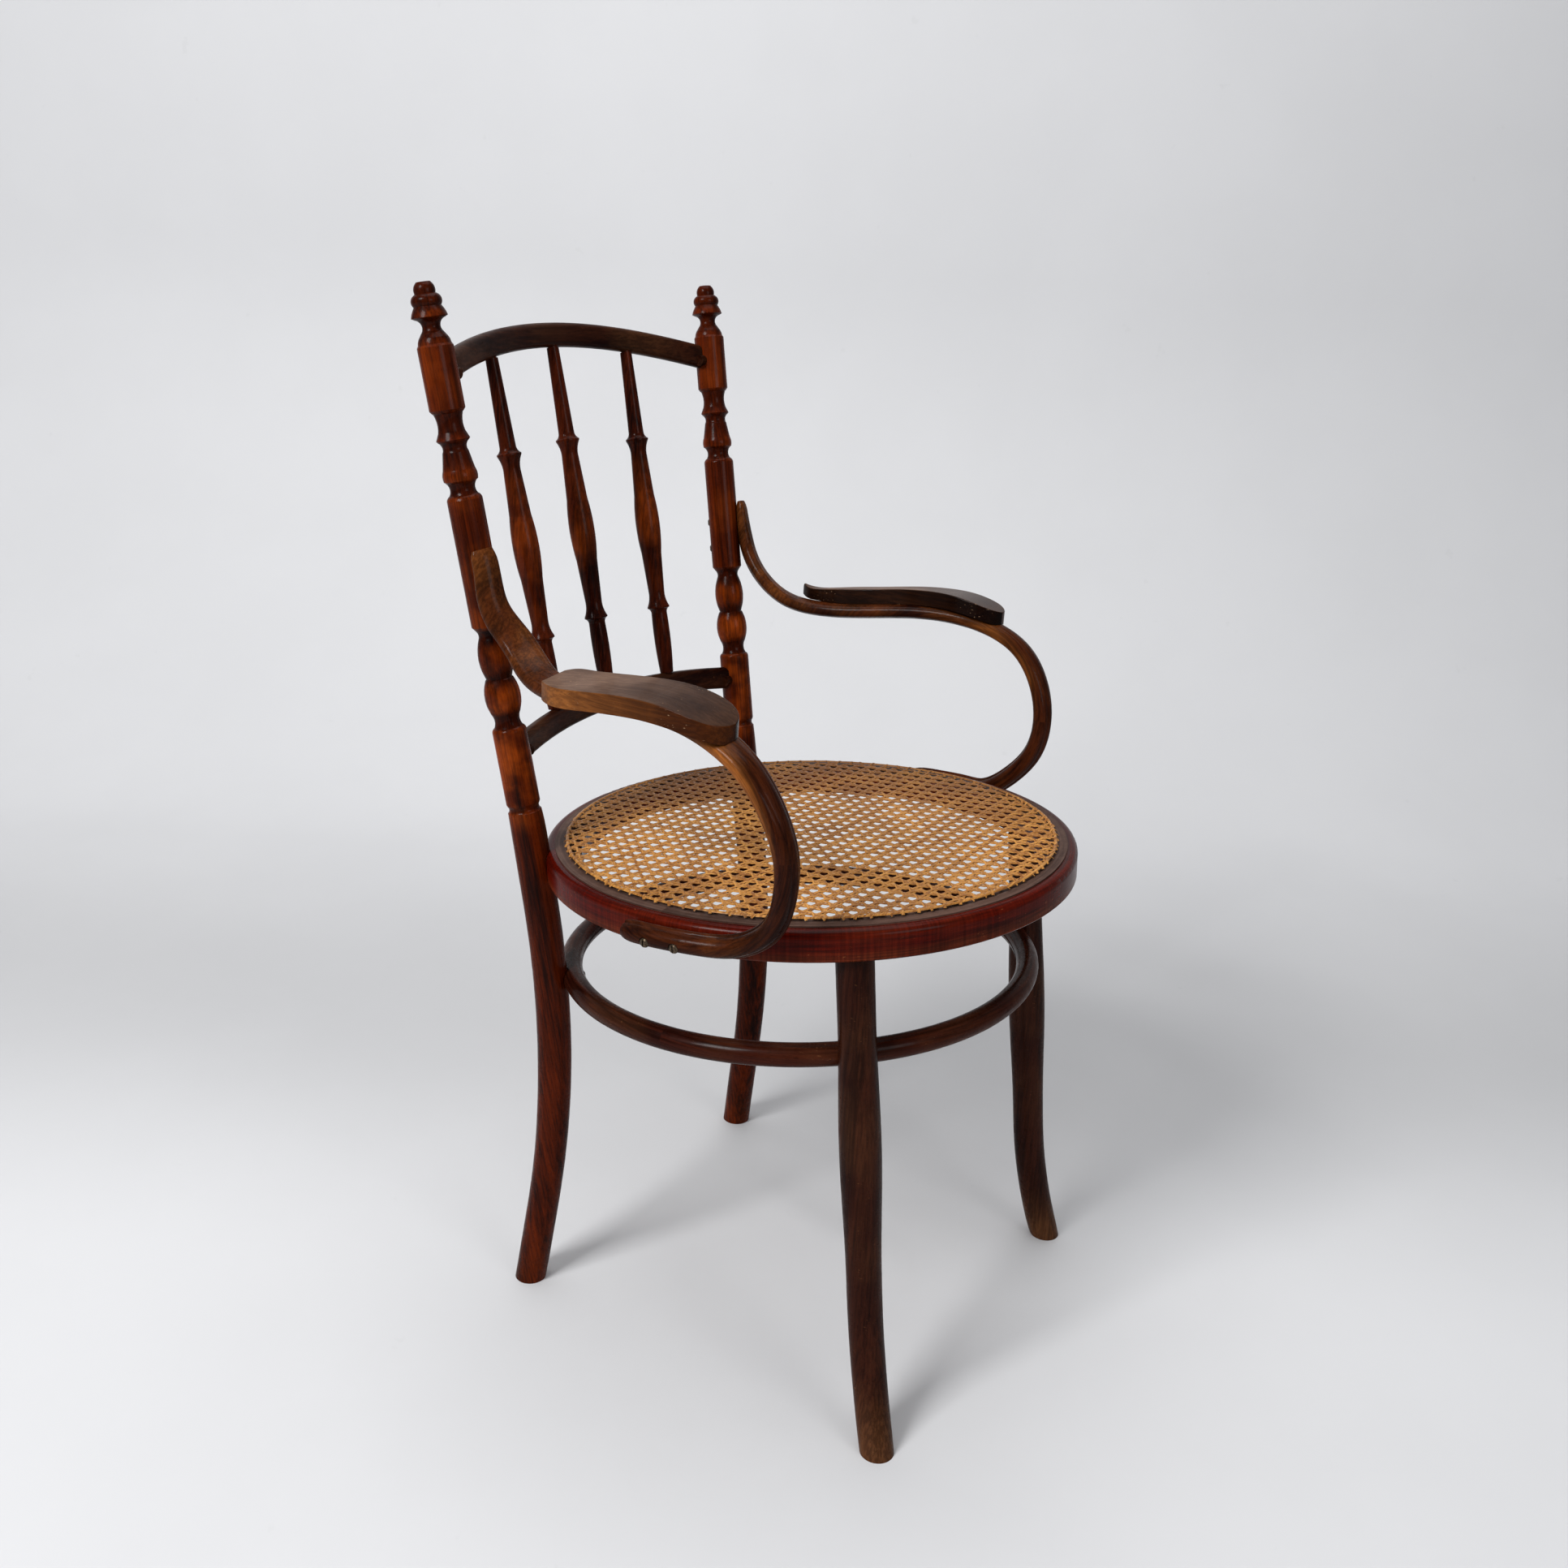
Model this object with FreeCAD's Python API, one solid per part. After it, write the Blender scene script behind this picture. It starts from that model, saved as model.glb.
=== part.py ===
import FreeCAD, Part
import math
import os

# Bentwood armchair with a round caned seat, a turned spindle back and looped arms.
# Millimetres, +Z up, the sitter faces -Y, the sitter's left is +X.
# The chair is drawn about the middle of its seat, then moved so that the origin
# lies on the floor under the middle of the whole chair.

# Seat
seat_height = 447.0
seat_slope = 4.0
ring_radius = 238.0
ring_depth = 27.0
ring_drop = 2.0
ring_inner_radius = 206.0
ring_lip_radius = 213.0
ring_lip_depth = 9.0
shoulder_width = 9.0
shoulder_radius = 6.5
shoulder_step = 1.2
ring_chamfer = 1.5
cane_radius = 220.0
cane_thickness = 1.8
gap_spacing = 22.0
gap_width = 13.0
gap_margin = 9.0
binder_width = 3.4
binder_thickness = 1.6
binder_edge = 0.7
binder_crown = 1.4

# Back posts, one bent stick each from finial to foot
post_diameter = 29.4
post_x = 168.7
post_y = 186.2
post_splay = 3.55
post_recline = 10.83
turning_start = 19.5
turning_top = 437.5
back_foot_x = 178.3
back_foot_y = 174.6
back_foot_slope = 0.125
back_splay_at_seat = 0.03
back_splay_at_foot = 0.08
back_bend_radius = 920.0
back_leg_diameter = 30.6
back_foot_diameter = 28.8
back_taper_low = 90.0
back_taper_high = 250.0

# Turned beads and necks of a back post
finial_cap_diameter = 17.5
finial_bead_diameter = 25.0
bell_diameter = 29.6
finial_neck_diameter = 14.8
collar_diameter = 25.0
neck_diameter = 20.8
disc_diameter = 27.8
upper_vase_diameter = 29.0
lower_vase_diameter = 30.4
waist_diameter = 22.0
foot_groove_diameter = 26.0

# Front legs
front_top_radius = 216.0
front_top_angle = 49.65
front_foot_x = 171.3
front_foot_y = -191.0
front_foot_diameter = 29.0
front_top_diameter = 31.2
swell_diameter = 34.8
swell_height = 258.0
swell_reach = 110.0
flare_reach_left = 16.0
flare_reach_right = 27.0
flare_height = 130.0
flare_angle = 44.0
tenon_diameter = 15.0
tenon_length = 12.0

# Hoop that ties the legs
hoop_radius = 210.0
hoop_diameter = 20.0
hoop_height = 323.5
hoop_y = 4.0
hoop_groove_radius = 1.0

# Crest rail and lower rail of the back
rail_height = 21.8
rail_thickness = 13.0
rail_rounding = 5.5
crest_end = 391.5
crest_rise = 32.1
crest_bow = 41.4
lower_rail_end = 70.9
lower_rail_rise = 14.9
lower_rail_bow = 29.5
rail_tenon_diameter = 10.0
rail_tenon_length = 8.0

# Spindles
spindle_top_x = 95.6
spindle_foot_x = 86.0
spindle_top_diameter = 11.0
spindle_foot_diameter = 13.0
spindle_disc_diameter = 21.8
spindle_belly_diameter = 23.6
spindle_neck_diameter = 14.0
spindle_tenon_diameter = 9.0
spindle_tenon_length = 7.0

# Arms
arm_top_on_post = 253.0
arm_leave_on_post = 204.0
arm_face_angle = 27.5
arm_face_sink = 16.0
arm_pad_turn = 8.5
arm_edge_rounding = 0.44
arm_doming = 1.8
arm_gap_on_post = 1.5
arm_broad_reach = 120.0
arm_thick_reach = 45.0
arm_top_breadth = 22.0
arm_top_thickness = 11.0
arm_breadth = 31.0
arm_thickness = 15.0
arm_foot_breadth = 20.0
arm_foot_thickness = 19.5
arm_tilt = 6.0
arm_rest_height = 149.5
arm_crown = 11.5
arm_foot_drop = 15.5
arm_foot_reach = 20.0

# How each arm's loop comes down to the ring: outwards, backwards, and up from the arm's rest.
# The two were bent by hand and differ a little.
arm_left_bend = [
    (238.5, -116.0, -77.5),
    (235.5, -111.0, -110.0),
    (234.0, -95.0, -133.5),
    (236.2, -63.0, -157.8),
]
arm_right_bend = [
    (238.5, -117.0, -77.0),
    (236.0, -115.4, -110.0),
    (234.0, -107.0, -133.0),
    (236.5, -81.2, -154.8),
    (240.9, -58.0, -160.9),
]

# Arm pads
pad_thickness = 14.6
pad_front_thickness = 12.0
pad_back_thickness = 10.6
pad_thin_from_y = 100.0
pad_thin_to_y = 150.0
pad_left_back_y = 151.0
pad_left_front_y = -62.0
pad_right_back_y = 108.0
pad_right_front_y = -69.0
pad_inner_x = 221.0
pad_outer_x = 269.5
pad_back_x = 210.5
pad_corner = 8.0
pad_tilt = 5.4
pad_bite = 0.5
pad_edge_radius = 1.2

# Screws
screw_diameter = 4.0
screw_head_diameter = 8.5
screw_head_height = 2.2
slot_width = 1.2
slot_depth = 1.0
foot_screw_gap = 26.5
foot_screw_back = 24.5
foot_screw_drop = 3.0
post_screw_low = 205.0
post_screw_high = 231.0
pad_screw_back_y = 95.0
pad_screw_front_y = -25.0
ring_screw_length = 40.0
small_screw_length = 26.0

clearance = 0.3
hole_clearance = 0.15

V = FreeCAD.Vector
Z_AXIS = V(0, 0, 1)


def mix(a, b, share):
    return a + (b - a) * share


def smooth(share):
    share = min(1.0, max(0.0, share))
    return share * share * (3 - 2 * share)


def unit(vector):
    return vector * (1.0 / vector.Length)


def spline(points, tangents=None):
    curve = Part.BSplineCurve()
    if tangents:
        curve.interpolate(Points=points, InitialTangent=tangents[0], FinalTangent=tangents[1])
    else:
        curve.interpolate(points)
    return curve


def placed(shape, origin, axis):
    turned = shape.copy()
    turned.Placement = FreeCAD.Placement(origin, FreeCAD.Rotation(Z_AXIS, axis))
    return turned


def mirrored(shape):
    return shape.mirror(V(0, 0, 0), V(1, 0, 0))


def to_seat(shape):
    tilted = shape.copy()
    tilted.rotate(V(0, 0, 0), V(1, 0, 0), -seat_slope)
    tilted.translate(V(0, 0, seat_height))
    return tilted


def seat_level(y, drop=0.0):
    return seat_height - y * math.tan(math.radians(seat_slope)) - drop


# A revolved outline: each entry is (radius, height) for a straight run,
# or (radius, height, radius, height) for an arc by way of its first point.
def outline_edges(start, entries):
    edges = []
    here = V(start[0], 0, start[1])
    for entry in entries:
        end = V(entry[-2], 0, entry[-1])
        if len(entry) == 4:
            edges.append(Part.Arc(here, V(entry[0], 0, entry[1]), end).toShape())
        else:
            edges.append(Part.makeLine(here, end))
        here = end
    return edges


def revolved(start, entries, closed_on_axis=True):
    edges = outline_edges(start, entries)
    first = V(start[0], 0, start[1])
    last = V(entries[-1][-2], 0, entries[-1][-1])
    if closed_on_axis:
        edges.append(Part.makeLine(last, V(0, 0, last.z)))
        edges.append(Part.makeLine(V(0, 0, last.z), V(0, 0, first.z)))
        edges.append(Part.makeLine(V(0, 0, first.z), first))
    elif (last - first).Length > 1e-6:
        edges.append(Part.makeLine(last, first))
    face = Part.Face(Part.Wire(edges))
    return face.revolve(V(0, 0, 0), Z_AXIS, 360)


def ring_of_circles(stations):
    # Loft through circles given as (centre, direction, diameter).
    wires = []
    for centre, direction, diameter in stations:
        wires.append(Part.Wire(Part.makeCircle(diameter / 2, centre, direction)))
    return Part.makeLoft(wires, True, False)


def rounded_section(centre, across, upward, breadth, height, rounding, doming=0.0):
    # Rounded rectangle in the plane of two directions, its broad sides domed if asked.
    half_b = breadth / 2
    half_h = height / 2 - doming
    r = min(rounding, half_b * 0.95, half_h * 0.95)
    lean = r * (1 - math.sqrt(0.5))

    def at(u, v):
        return centre + across * u + upward * v

    edges = []
    corners = [(1, 1), (-1, 1), (-1, -1), (1, -1)]
    for index, (su, sv) in enumerate(corners):
        if index % 2 == 0:
            start = at(su * half_b, sv * (half_h - r))
            end = at(su * (half_b - r), sv * half_h)
        else:
            start = at(su * (half_b - r), sv * half_h)
            end = at(su * half_b, sv * (half_h - r))
        middle = at(su * (half_b - lean), sv * (half_h - lean))
        edges.append(Part.Arc(start, middle, end).toShape())
        next_su, next_sv = corners[(index + 1) % 4]
        if index % 2 == 0:
            far_end = at(next_su * (half_b - r), next_sv * half_h)
            if doming:
                edges.append(Part.Arc(end, at(0, sv * (half_h + doming)), far_end).toShape())
            else:
                edges.append(Part.makeLine(end, far_end))
        else:
            edges.append(Part.makeLine(end, at(next_su * half_b, next_sv * (half_h - r))))
    return Part.Wire(edges)


# Back posts
def post_axis():
    splay = math.tan(math.radians(post_splay))
    recline = math.tan(math.radians(post_recline))
    return unit(V(splay, recline, 1))


def post_point(along):
    # A point on the left post's straight axis, measured from the seat's height.
    return V(post_x, post_y, seat_height) + post_axis() * along


def back_leg_point(height):
    # Two straight runs joined by one long bend, seen from the side.
    low = math.atan(back_foot_slope)
    high = math.radians(post_recline)
    slope_high = math.tan(high)
    meet = (back_foot_y - post_y + slope_high * seat_height) / (slope_high + back_foot_slope)
    meet_y = back_foot_y - back_foot_slope * meet
    turn = low + high
    tangent = back_bend_radius * math.tan(turn / 2)
    bend_top = meet + tangent * math.cos(high)
    bend_foot = meet - tangent * math.cos(low)
    if height >= bend_top:
        y = post_y + slope_high * (height - seat_height)
    elif height <= bend_foot:
        y = back_foot_y - back_foot_slope * height
    else:
        foot_y = meet_y + tangent * math.sin(low)
        centre_z = bend_foot + back_bend_radius * math.sin(low)
        centre_y = foot_y + back_bend_radius * math.cos(low)
        y = centre_y - math.sqrt(back_bend_radius ** 2 - (height - centre_z) ** 2)
    share = height / seat_height
    pull_foot = -back_splay_at_foot * seat_height
    pull_seat = back_splay_at_seat * seat_height
    x = back_foot_x * (2 * share ** 3 - 3 * share ** 2 + 1)
    x += pull_foot * (share ** 3 - 2 * share ** 2 + share)
    x += post_x * (3 * share ** 2 - 2 * share ** 3)
    x += pull_seat * (share ** 3 - share ** 2)
    return V(x, y, height)


def back_leg_diameter_at(height):
    share = (height - back_taper_low) / (back_taper_high - back_taper_low)
    return mix(back_foot_diameter, back_leg_diameter, smooth(share))


def back_leg(extra=0.0):
    # The bent leg, from the floor up to where the turning starts.
    stations = []
    count = 14
    top = seat_height - 12
    for index in range(count + 1):
        height = top * index / count
        centre = back_leg_point(height)
        ahead = back_leg_point(height + 1) - back_leg_point(height - 1)
        direction = unit(ahead) if index else Z_AXIS
        stations.append((centre, direction, back_leg_diameter_at(height) + 2 * extra))
    end = post_point(turning_start)
    stations.append((end, post_axis(), post_diameter + 2 * extra))
    return ring_of_circles(stations)


def turned_post():
    # The turned stretch, drawn upright from the groove over the leg to the finial.
    post = post_diameter / 2
    neck = neck_diameter / 2
    waist = waist_diameter / 2
    cap = finial_cap_diameter / 2
    bead = finial_bead_diameter / 2
    bell = bell_diameter / 2
    finial_neck = finial_neck_diameter / 2
    collar = collar_diameter / 2
    disc = disc_diameter / 2
    upper = upper_vase_diameter / 2
    lower = lower_vase_diameter / 2
    base = 25.4
    top = base + turning_top
    entries = [
        (post, base - 5),
        (foot_groove_diameter / 2, base - 1.5, post - 0.6, base + 1.5),
        (post, base + 3),
        (post, base + 67),
        (post - 0.5, base + 69.5, waist + 1.2, base + 71.5),
        (waist - 0.2, base + 76, waist + 1.6, base + 84),
        (lower, base + 102, waist + 1.0, base + 113.5),
        (waist, base + 114.5),
        (upper - 0.2, base + 130, neck + 0.6, base + 149),
        (neck, base + 153, neck + 1.6, base + 156.5),
        (post - 1.2, base + 158.5),
        (post, base + 160),
        (post, base + 265.5),
        (post - 0.8, base + 267.5, neck + 1.4, base + 269.5),
        (neck, base + 274, upper - 2.2, base + 279.5),
        (upper - 0.4, base + 281),
        (upper, base + 285, upper - 1.2, base + 290),
        (neck + 0.4, base + 304),
        (neck - 0.5, base + 307.5, disc - 1.2, base + 312.5),
        (disc, base + 314),
        (neck + 0.8, base + 320),
        (neck, base + 325, neck + 1.6, base + 335),
        (post - 1.6, base + 336),
        (post, base + 338),
        (post, base + 387.5),
        (collar + 1.0, base + 389.5),
        (collar + 0.6, base + 392, collar - 0.6, base + 394.5),
        (finial_neck + 1.8, base + 398.5),
        (finial_neck, base + 403, bell - 2.5, base + 409.2),
        (bell, base + 410.5),
        (bell - 1.8, base + 415.5, bead - 1.4, base + 418.8),
        (bead, base + 423, cap + 1.2, base + 427.5),
        (cap - 0.3, base + 428.5),
        (cap, base + 431.5, cap - 3.0, top),
    ]
    return revolved((post, turning_start), entries)


def back_post():
    upper = placed(turned_post(), post_point(0), post_axis())
    post = upper.fuse(back_leg()).removeSplitter()
    post = post.cut(grown_ring())
    for end in (crest_point(1.0), lower_rail_point(1.0)):
        inward = unit(V(end.x, 0, 0))
        start = end - inward * (post_diameter / 2 + 3)
        hole = Part.makeCylinder(
            rail_tenon_diameter / 2 + hole_clearance,
            post_diameter / 2 + 3 + tenon_reach() + clearance,
            start,
            inward,
        )
        post = post.cut(hole)
    for place, direction in post_screw_places():
        post = post.cut(screw_hole(place, direction))
    place, direction = ring_screw_place()
    return post.cut(screw_hole(place, direction, ring_screw_length))


# Seat
def ring_profile(grow=0.0):
    top = -ring_drop
    low = top - ring_depth
    outer = ring_radius + grow
    return [
        (outer - ring_chamfer, low - grow),
        (outer, low + ring_chamfer),
        (outer, top - shoulder_step - shoulder_radius),
        (
            outer - shoulder_radius * (1 - math.sqrt(0.5)),
            top - shoulder_step - shoulder_radius * (1 - math.sqrt(0.5)) + grow,
            outer - shoulder_radius,
            top - shoulder_step + grow,
        ),
        (ring_radius - shoulder_width, top - shoulder_step + grow),
        (ring_radius - shoulder_width, top + grow),
    ]


def seat_ring():
    top = -ring_drop
    low = top - ring_depth
    entries = ring_profile() + [
        (ring_lip_radius, top),
        (ring_inner_radius, top - ring_lip_depth),
        (ring_inner_radius, low),
    ]
    ring = to_seat(revolved((ring_inner_radius, low), entries, False))
    for side in (1, -1):
        top_point = front_leg_top()
        top_point.x *= side
        hole = Part.makeCylinder(
            tenon_diameter / 2 + hole_clearance,
            tenon_length + clearance + 4,
            top_point - Z_AXIS * 4,
            Z_AXIS,
        )
        ring = ring.cut(hole)
    place, direction = ring_screw_place()
    hole = screw_hole(place, direction, ring_screw_length)
    ring = ring.cut(hole).cut(mirrored(hole))
    for place, direction in foot_screw_places():
        hole = screw_hole(place, direction)
        ring = ring.cut(hole).cut(mirrored(hole))
    return ring


def grown_ring():
    # The ring's outside as a full disc, larger by the clearance, for cutting its neighbours.
    top = -ring_drop
    low = top - ring_depth - clearance
    entries = ring_profile(clearance)
    return to_seat(revolved((entries[0][0], low), entries[1:]))


def cane_panel():
    # The weave as one flat net, its gaps drawn wider apart than the real ones.
    disc = Part.Wire(Part.makeCircle(cane_radius))
    wires = [disc]
    half = gap_width / 2
    corner = half * math.tan(math.radians(22.5))
    octagon = [
        (half, -corner), (half, corner), (corner, half), (-corner, half),
        (-half, corner), (-half, -corner), (-corner, -half), (corner, -half),
    ]
    reach = int(cane_radius / gap_spacing) + 1
    limit = cane_radius - gap_margin - half
    for column in range(-reach, reach + 1):
        for row in range(-reach, reach + 1):
            x = column * gap_spacing
            y = row * gap_spacing
            if math.hypot(x, y) > limit:
                continue
            corners = [V(x + u, y + v, 0) for u, v in octagon]
            wires.append(Part.makePolygon(corners + corners[:1]))
    face = Part.makeFace(wires, "Part::FaceMakerBullseye")
    panel = face.extrude(V(0, 0, cane_thickness))
    panel.translate(V(0, 0, -ring_drop))
    return to_seat(panel)


def cane_binder():
    # The round strand laid over the row of holes.
    base = cane_thickness - ring_drop
    top = base + binder_thickness
    middle = cane_radius - binder_width / 2
    entries = [
        (cane_radius, base),
        (cane_radius, base + binder_edge),
        (middle + binder_crown / 2, top),
        (middle - binder_crown / 2, top),
        (cane_radius - binder_width, base + binder_edge),
    ]
    return to_seat(revolved((cane_radius - binder_width, base), entries, False))


# Front legs
def front_leg_top():
    angle = math.radians(front_top_angle)
    x = front_top_radius * math.sin(angle)
    y = -front_top_radius * math.cos(angle)
    return V(x, y, seat_level(y, ring_drop + ring_depth))


def front_leg_point(height, flare_reach=flare_reach_left):
    top = front_leg_top()
    share = height / top.z
    point = V(mix(front_foot_x, top.x, share), mix(front_foot_y, top.y, share), height)
    if height < flare_height:
        reach = flare_reach * (1 - height / flare_height) ** 2
        angle = math.radians(flare_angle)
        point += V(math.cos(angle), -math.sin(angle), 0) * reach
    return point


def front_leg_diameter_at(height):
    share = height / front_leg_top().z
    base = mix(front_foot_diameter, front_top_diameter, share)
    middle = mix(front_foot_diameter, front_top_diameter, swell_height / front_leg_top().z)
    off = min(1.0, abs(height - swell_height) / swell_reach)
    return base + (swell_diameter - middle) * 0.5 * (1 + math.cos(math.pi * off))


def front_leg_body(extra=0.0, flare_reach=flare_reach_left):
    stations = []
    count = 18
    top = front_leg_top()
    for index in range(count + 1):
        height = top.z * index / count
        centre = front_leg_point(height, flare_reach)
        ahead = front_leg_point(height + 1, flare_reach) - front_leg_point(height - 1, flare_reach)
        direction = unit(ahead) if index else Z_AXIS
        stations.append((centre, direction, front_leg_diameter_at(height) + 2 * extra))
    past = top + unit(front_leg_point(top.z) - front_leg_point(top.z - 1)) * 6
    direction = stations[-1][1]
    stations.append((past, direction, front_leg_diameter_at(top.z) + 2 * extra))
    return ring_of_circles(stations)


def under_ring():
    # All that lies above the ring's underside.
    slab = Part.makeBox(800, 800, 200, V(-400, -400, -ring_drop - ring_depth))
    return to_seat(slab)


def front_leg(flare_reach):
    body = front_leg_body(0.0, flare_reach).cut(under_ring())
    tenon = Part.makeCylinder(
        tenon_diameter / 2,
        tenon_length + 3,
        front_leg_top() - Z_AXIS * 3,
        Z_AXIS,
    )
    return drill_legs(body.fuse(tenon).removeSplitter())


# Leg hoop
def hoop_level(y):
    return hoop_height - (y - hoop_y) * math.tan(math.radians(seat_slope))


def leg_hoop():
    tube = Part.makeTorus(hoop_radius, hoop_diameter / 2)
    groove = Part.makeTorus(hoop_radius - hoop_diameter / 2, hoop_groove_radius)
    hoop = tube.cut(groove)
    hoop.rotate(V(0, 0, 0), V(1, 0, 0), -seat_slope)
    hoop.translate(V(0, hoop_y, hoop_height))
    for leg in (back_leg(clearance), front_leg_body(clearance)):
        hoop = hoop.cut(leg).cut(mirrored(leg))
    for place, direction in hoop_screw_places():
        hole = screw_hole(place, direction)
        hoop = hoop.cut(hole).cut(mirrored(hole))
    return hoop


# Rails of the back
def rail_point(share, along, rise, bow):
    # A rail from post to post, arched up and bowed to the back; share runs from -1 to 1.
    end = post_point(along)
    lift = unit(V(0, post_axis().y, post_axis().z))
    back = V(0, lift.z, -lift.y)
    arch = 1 - share ** 2
    return V(end.x * share, end.y, end.z) + (lift * rise + back * bow) * arch


def crest_point(share):
    return rail_point(share, crest_end, crest_rise, crest_bow)


def lower_rail_point(share):
    return rail_point(share, lower_rail_end, lower_rail_rise, lower_rail_bow)


def tenon_reach():
    return rail_tenon_length - post_diameter / 2


def rail(point_at):
    lift = unit(V(0, post_axis().y, post_axis().z))
    sections = []
    count = 12
    for index in range(count + 1):
        share = -1 + 2 * index / count
        centre = point_at(share)
        direction = unit(point_at(share + 0.01) - point_at(share - 0.01))
        across = unit(lift.cross(direction))
        upward = unit(direction.cross(across))
        sections.append(
            rounded_section(centre, across, upward, rail_thickness, rail_height, rail_rounding)
        )
    bar = Part.makeLoft(sections, True, False)
    for side in (1, -1):
        post = placed(
            Part.makeCylinder(post_diameter / 2 + clearance, 120, V(0, 0, -60)),
            point_at(1.0),
            post_axis(),
        )
        bar = bar.cut(post if side == 1 else mirrored(post))
    for side in (1, -1):
        end = point_at(side * 1.0)
        outward = V(side, 0, 0)
        start = end - outward * (post_diameter / 2 + 6)
        tenon = Part.makeCylinder(
            rail_tenon_diameter / 2,
            post_diameter / 2 + 6 + tenon_reach(),
            start,
            outward,
        )
        bar = bar.fuse(tenon)
    return bar.removeSplitter()


def crest_rail():
    bar = rail(crest_point)
    for side in (-1, 0, 1):
        top, foot = spindle_ends(side)
        bar = bar.cut(spindle_hole(top, unit(top - foot)))
    return bar


def lower_back_rail():
    bar = rail(lower_rail_point)
    for side in (-1, 0, 1):
        top, foot = spindle_ends(side)
        bar = bar.cut(spindle_hole(foot, unit(foot - top)))
    return bar


# Spindles
def spindle_ends(side):
    # Where a spindle's shoulders stand: just under the crest and just over the lower rail.
    crest = crest_point(side * spindle_top_x / post_point(crest_end).x)
    low = lower_rail_point(side * spindle_foot_x / post_point(lower_rail_end).x)
    run = unit(crest - low)
    top = crest - run * (rail_height / 2 + clearance)
    foot = low + run * (rail_height / 2 + clearance)
    return top, foot


def spindle_hole(place, direction):
    return Part.makeCylinder(
        spindle_tenon_diameter / 2 + hole_clearance,
        spindle_tenon_length + 3,
        place - direction * 2,
        direction,
    )


def spindle(side):
    top, foot = spindle_ends(side)
    length = (top - foot).Length
    disc = spindle_disc_diameter / 2
    belly = spindle_belly_diameter / 2
    neck = spindle_neck_diameter / 2
    tenon = spindle_tenon_diameter / 2
    low_disc = length * 0.212
    middle = length * 0.479
    high_disc = length * 0.735
    entries = [
        (tenon, 0),
        (spindle_foot_diameter / 2, 0),
        (neck + 1.2, low_disc * 0.55, disc - 3.2, low_disc - 6),
        (disc - 2.2, low_disc - 3.0, disc, low_disc - 1.2),
        (disc, low_disc),
        (neck + 1.6, low_disc + 6, neck + 0.8, low_disc + 14),
        (belly - 2.0, middle - 30),
        (belly, middle, belly - 2.0, middle + 26),
        (neck + 0.8, high_disc - 16),
        (neck + 1.4, high_disc - 7, disc, high_disc - 0.6),
        (disc, high_disc + 0.6),
        (disc - 2.6, high_disc + 3.2, disc - 3.6, high_disc + 7),
        (spindle_top_diameter / 2, length),
        (tenon, length),
        (tenon, length + spindle_tenon_length),
    ]
    body = revolved((tenon, -spindle_tenon_length), entries)
    return placed(body, foot, unit(top - foot))


# Arms
def arm_route(bend):
    # The middle line of a left arm, from the post, under the pad, round and back to the ring.
    face = math.radians(arm_face_angle)
    away = V(math.sin(face), -math.cos(face), 0)
    points = []
    for along, thickness in ((arm_top_on_post, arm_top_thickness), (230.0, 13.0)):
        gap = post_diameter / 2 + thickness / 2 - 0.6
        points.append(post_point(along) + away * gap)
    gap = post_diameter / 2 + arm_thickness / 2 + arm_gap_on_post
    points.append(post_point(arm_leave_on_post) + away * gap)
    rest = seat_height + arm_rest_height
    points.append(V(188.6, 181.0, rest + 24.0))
    points.append(V(195.5, 157.0, rest + 6.5))
    points.append(V(208.0, 121.0, rest))
    points.append(V(220.5, 74.0, rest + arm_crown * 0.32))
    points.append(V(229.2, 25.0, rest + arm_crown * 0.86))
    points.append(V(234.6, -18.0, rest + arm_crown * 0.9))
    points.append(V(240.2, -53.0, rest + arm_crown * 0.3))
    points.append(V(243.8, -84.0, rest - 13.0))
    points.append(V(242.5, -105.5, rest - 41.0))
    for outwards, backwards, upwards in bend:
        points.append(V(outwards, backwards, rest + upwards))
    radius = ring_radius + arm_foot_breadth / 2 - 0.2
    for along in (-40.0, -18.0, 4.0, arm_foot_reach):
        x = math.sqrt(radius ** 2 - along ** 2)
        points.append(V(x, along, seat_level(along, arm_foot_drop)))
    return points


def arm_size_at(share, length):
    # Breadth and thickness along the arm: thin where it meets the post, slender at the foot.
    along = share * length
    breadth = mix(arm_top_breadth, arm_breadth, smooth(along / arm_broad_reach))
    thickness = mix(arm_top_thickness, arm_thickness, smooth(along / arm_thick_reach))
    fade = smooth((along - 240.0) / 330.0)
    breadth = mix(breadth, arm_foot_breadth, fade)
    thickness = mix(thickness, arm_foot_thickness, fade)
    return breadth, thickness


def direction_of(turn, sink):
    # A level-ish direction to the left, turned backwards and dipped by the given angles.
    turn = math.radians(turn)
    sink = math.radians(sink)
    return V(math.cos(turn) * math.cos(sink), math.sin(turn) * math.cos(sink), -math.sin(sink))


def arm_frame(tangent, along):
    # The arm lies against the post with its broad face, turns nearly flat for the pad,
    # stands square in the loop and ends level along the ring.
    at_post = direction_of(arm_face_angle, arm_face_sink)
    at_pad = direction_of(arm_pad_turn, arm_tilt)
    at_loop = direction_of(0.0, arm_tilt)
    at_foot = direction_of(0.0, 0.0)
    lean = mix(at_post, at_pad, smooth((along - 62.0) / 115.0))
    lean = mix(lean, at_loop, smooth((along - 290.0) / 100.0))
    lean = mix(lean, at_foot, smooth((along - 470.0) / 60.0))
    across = unit(lean - tangent * lean.dot(tangent))
    upward = unit(tangent.cross(across))
    return across, upward


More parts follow.
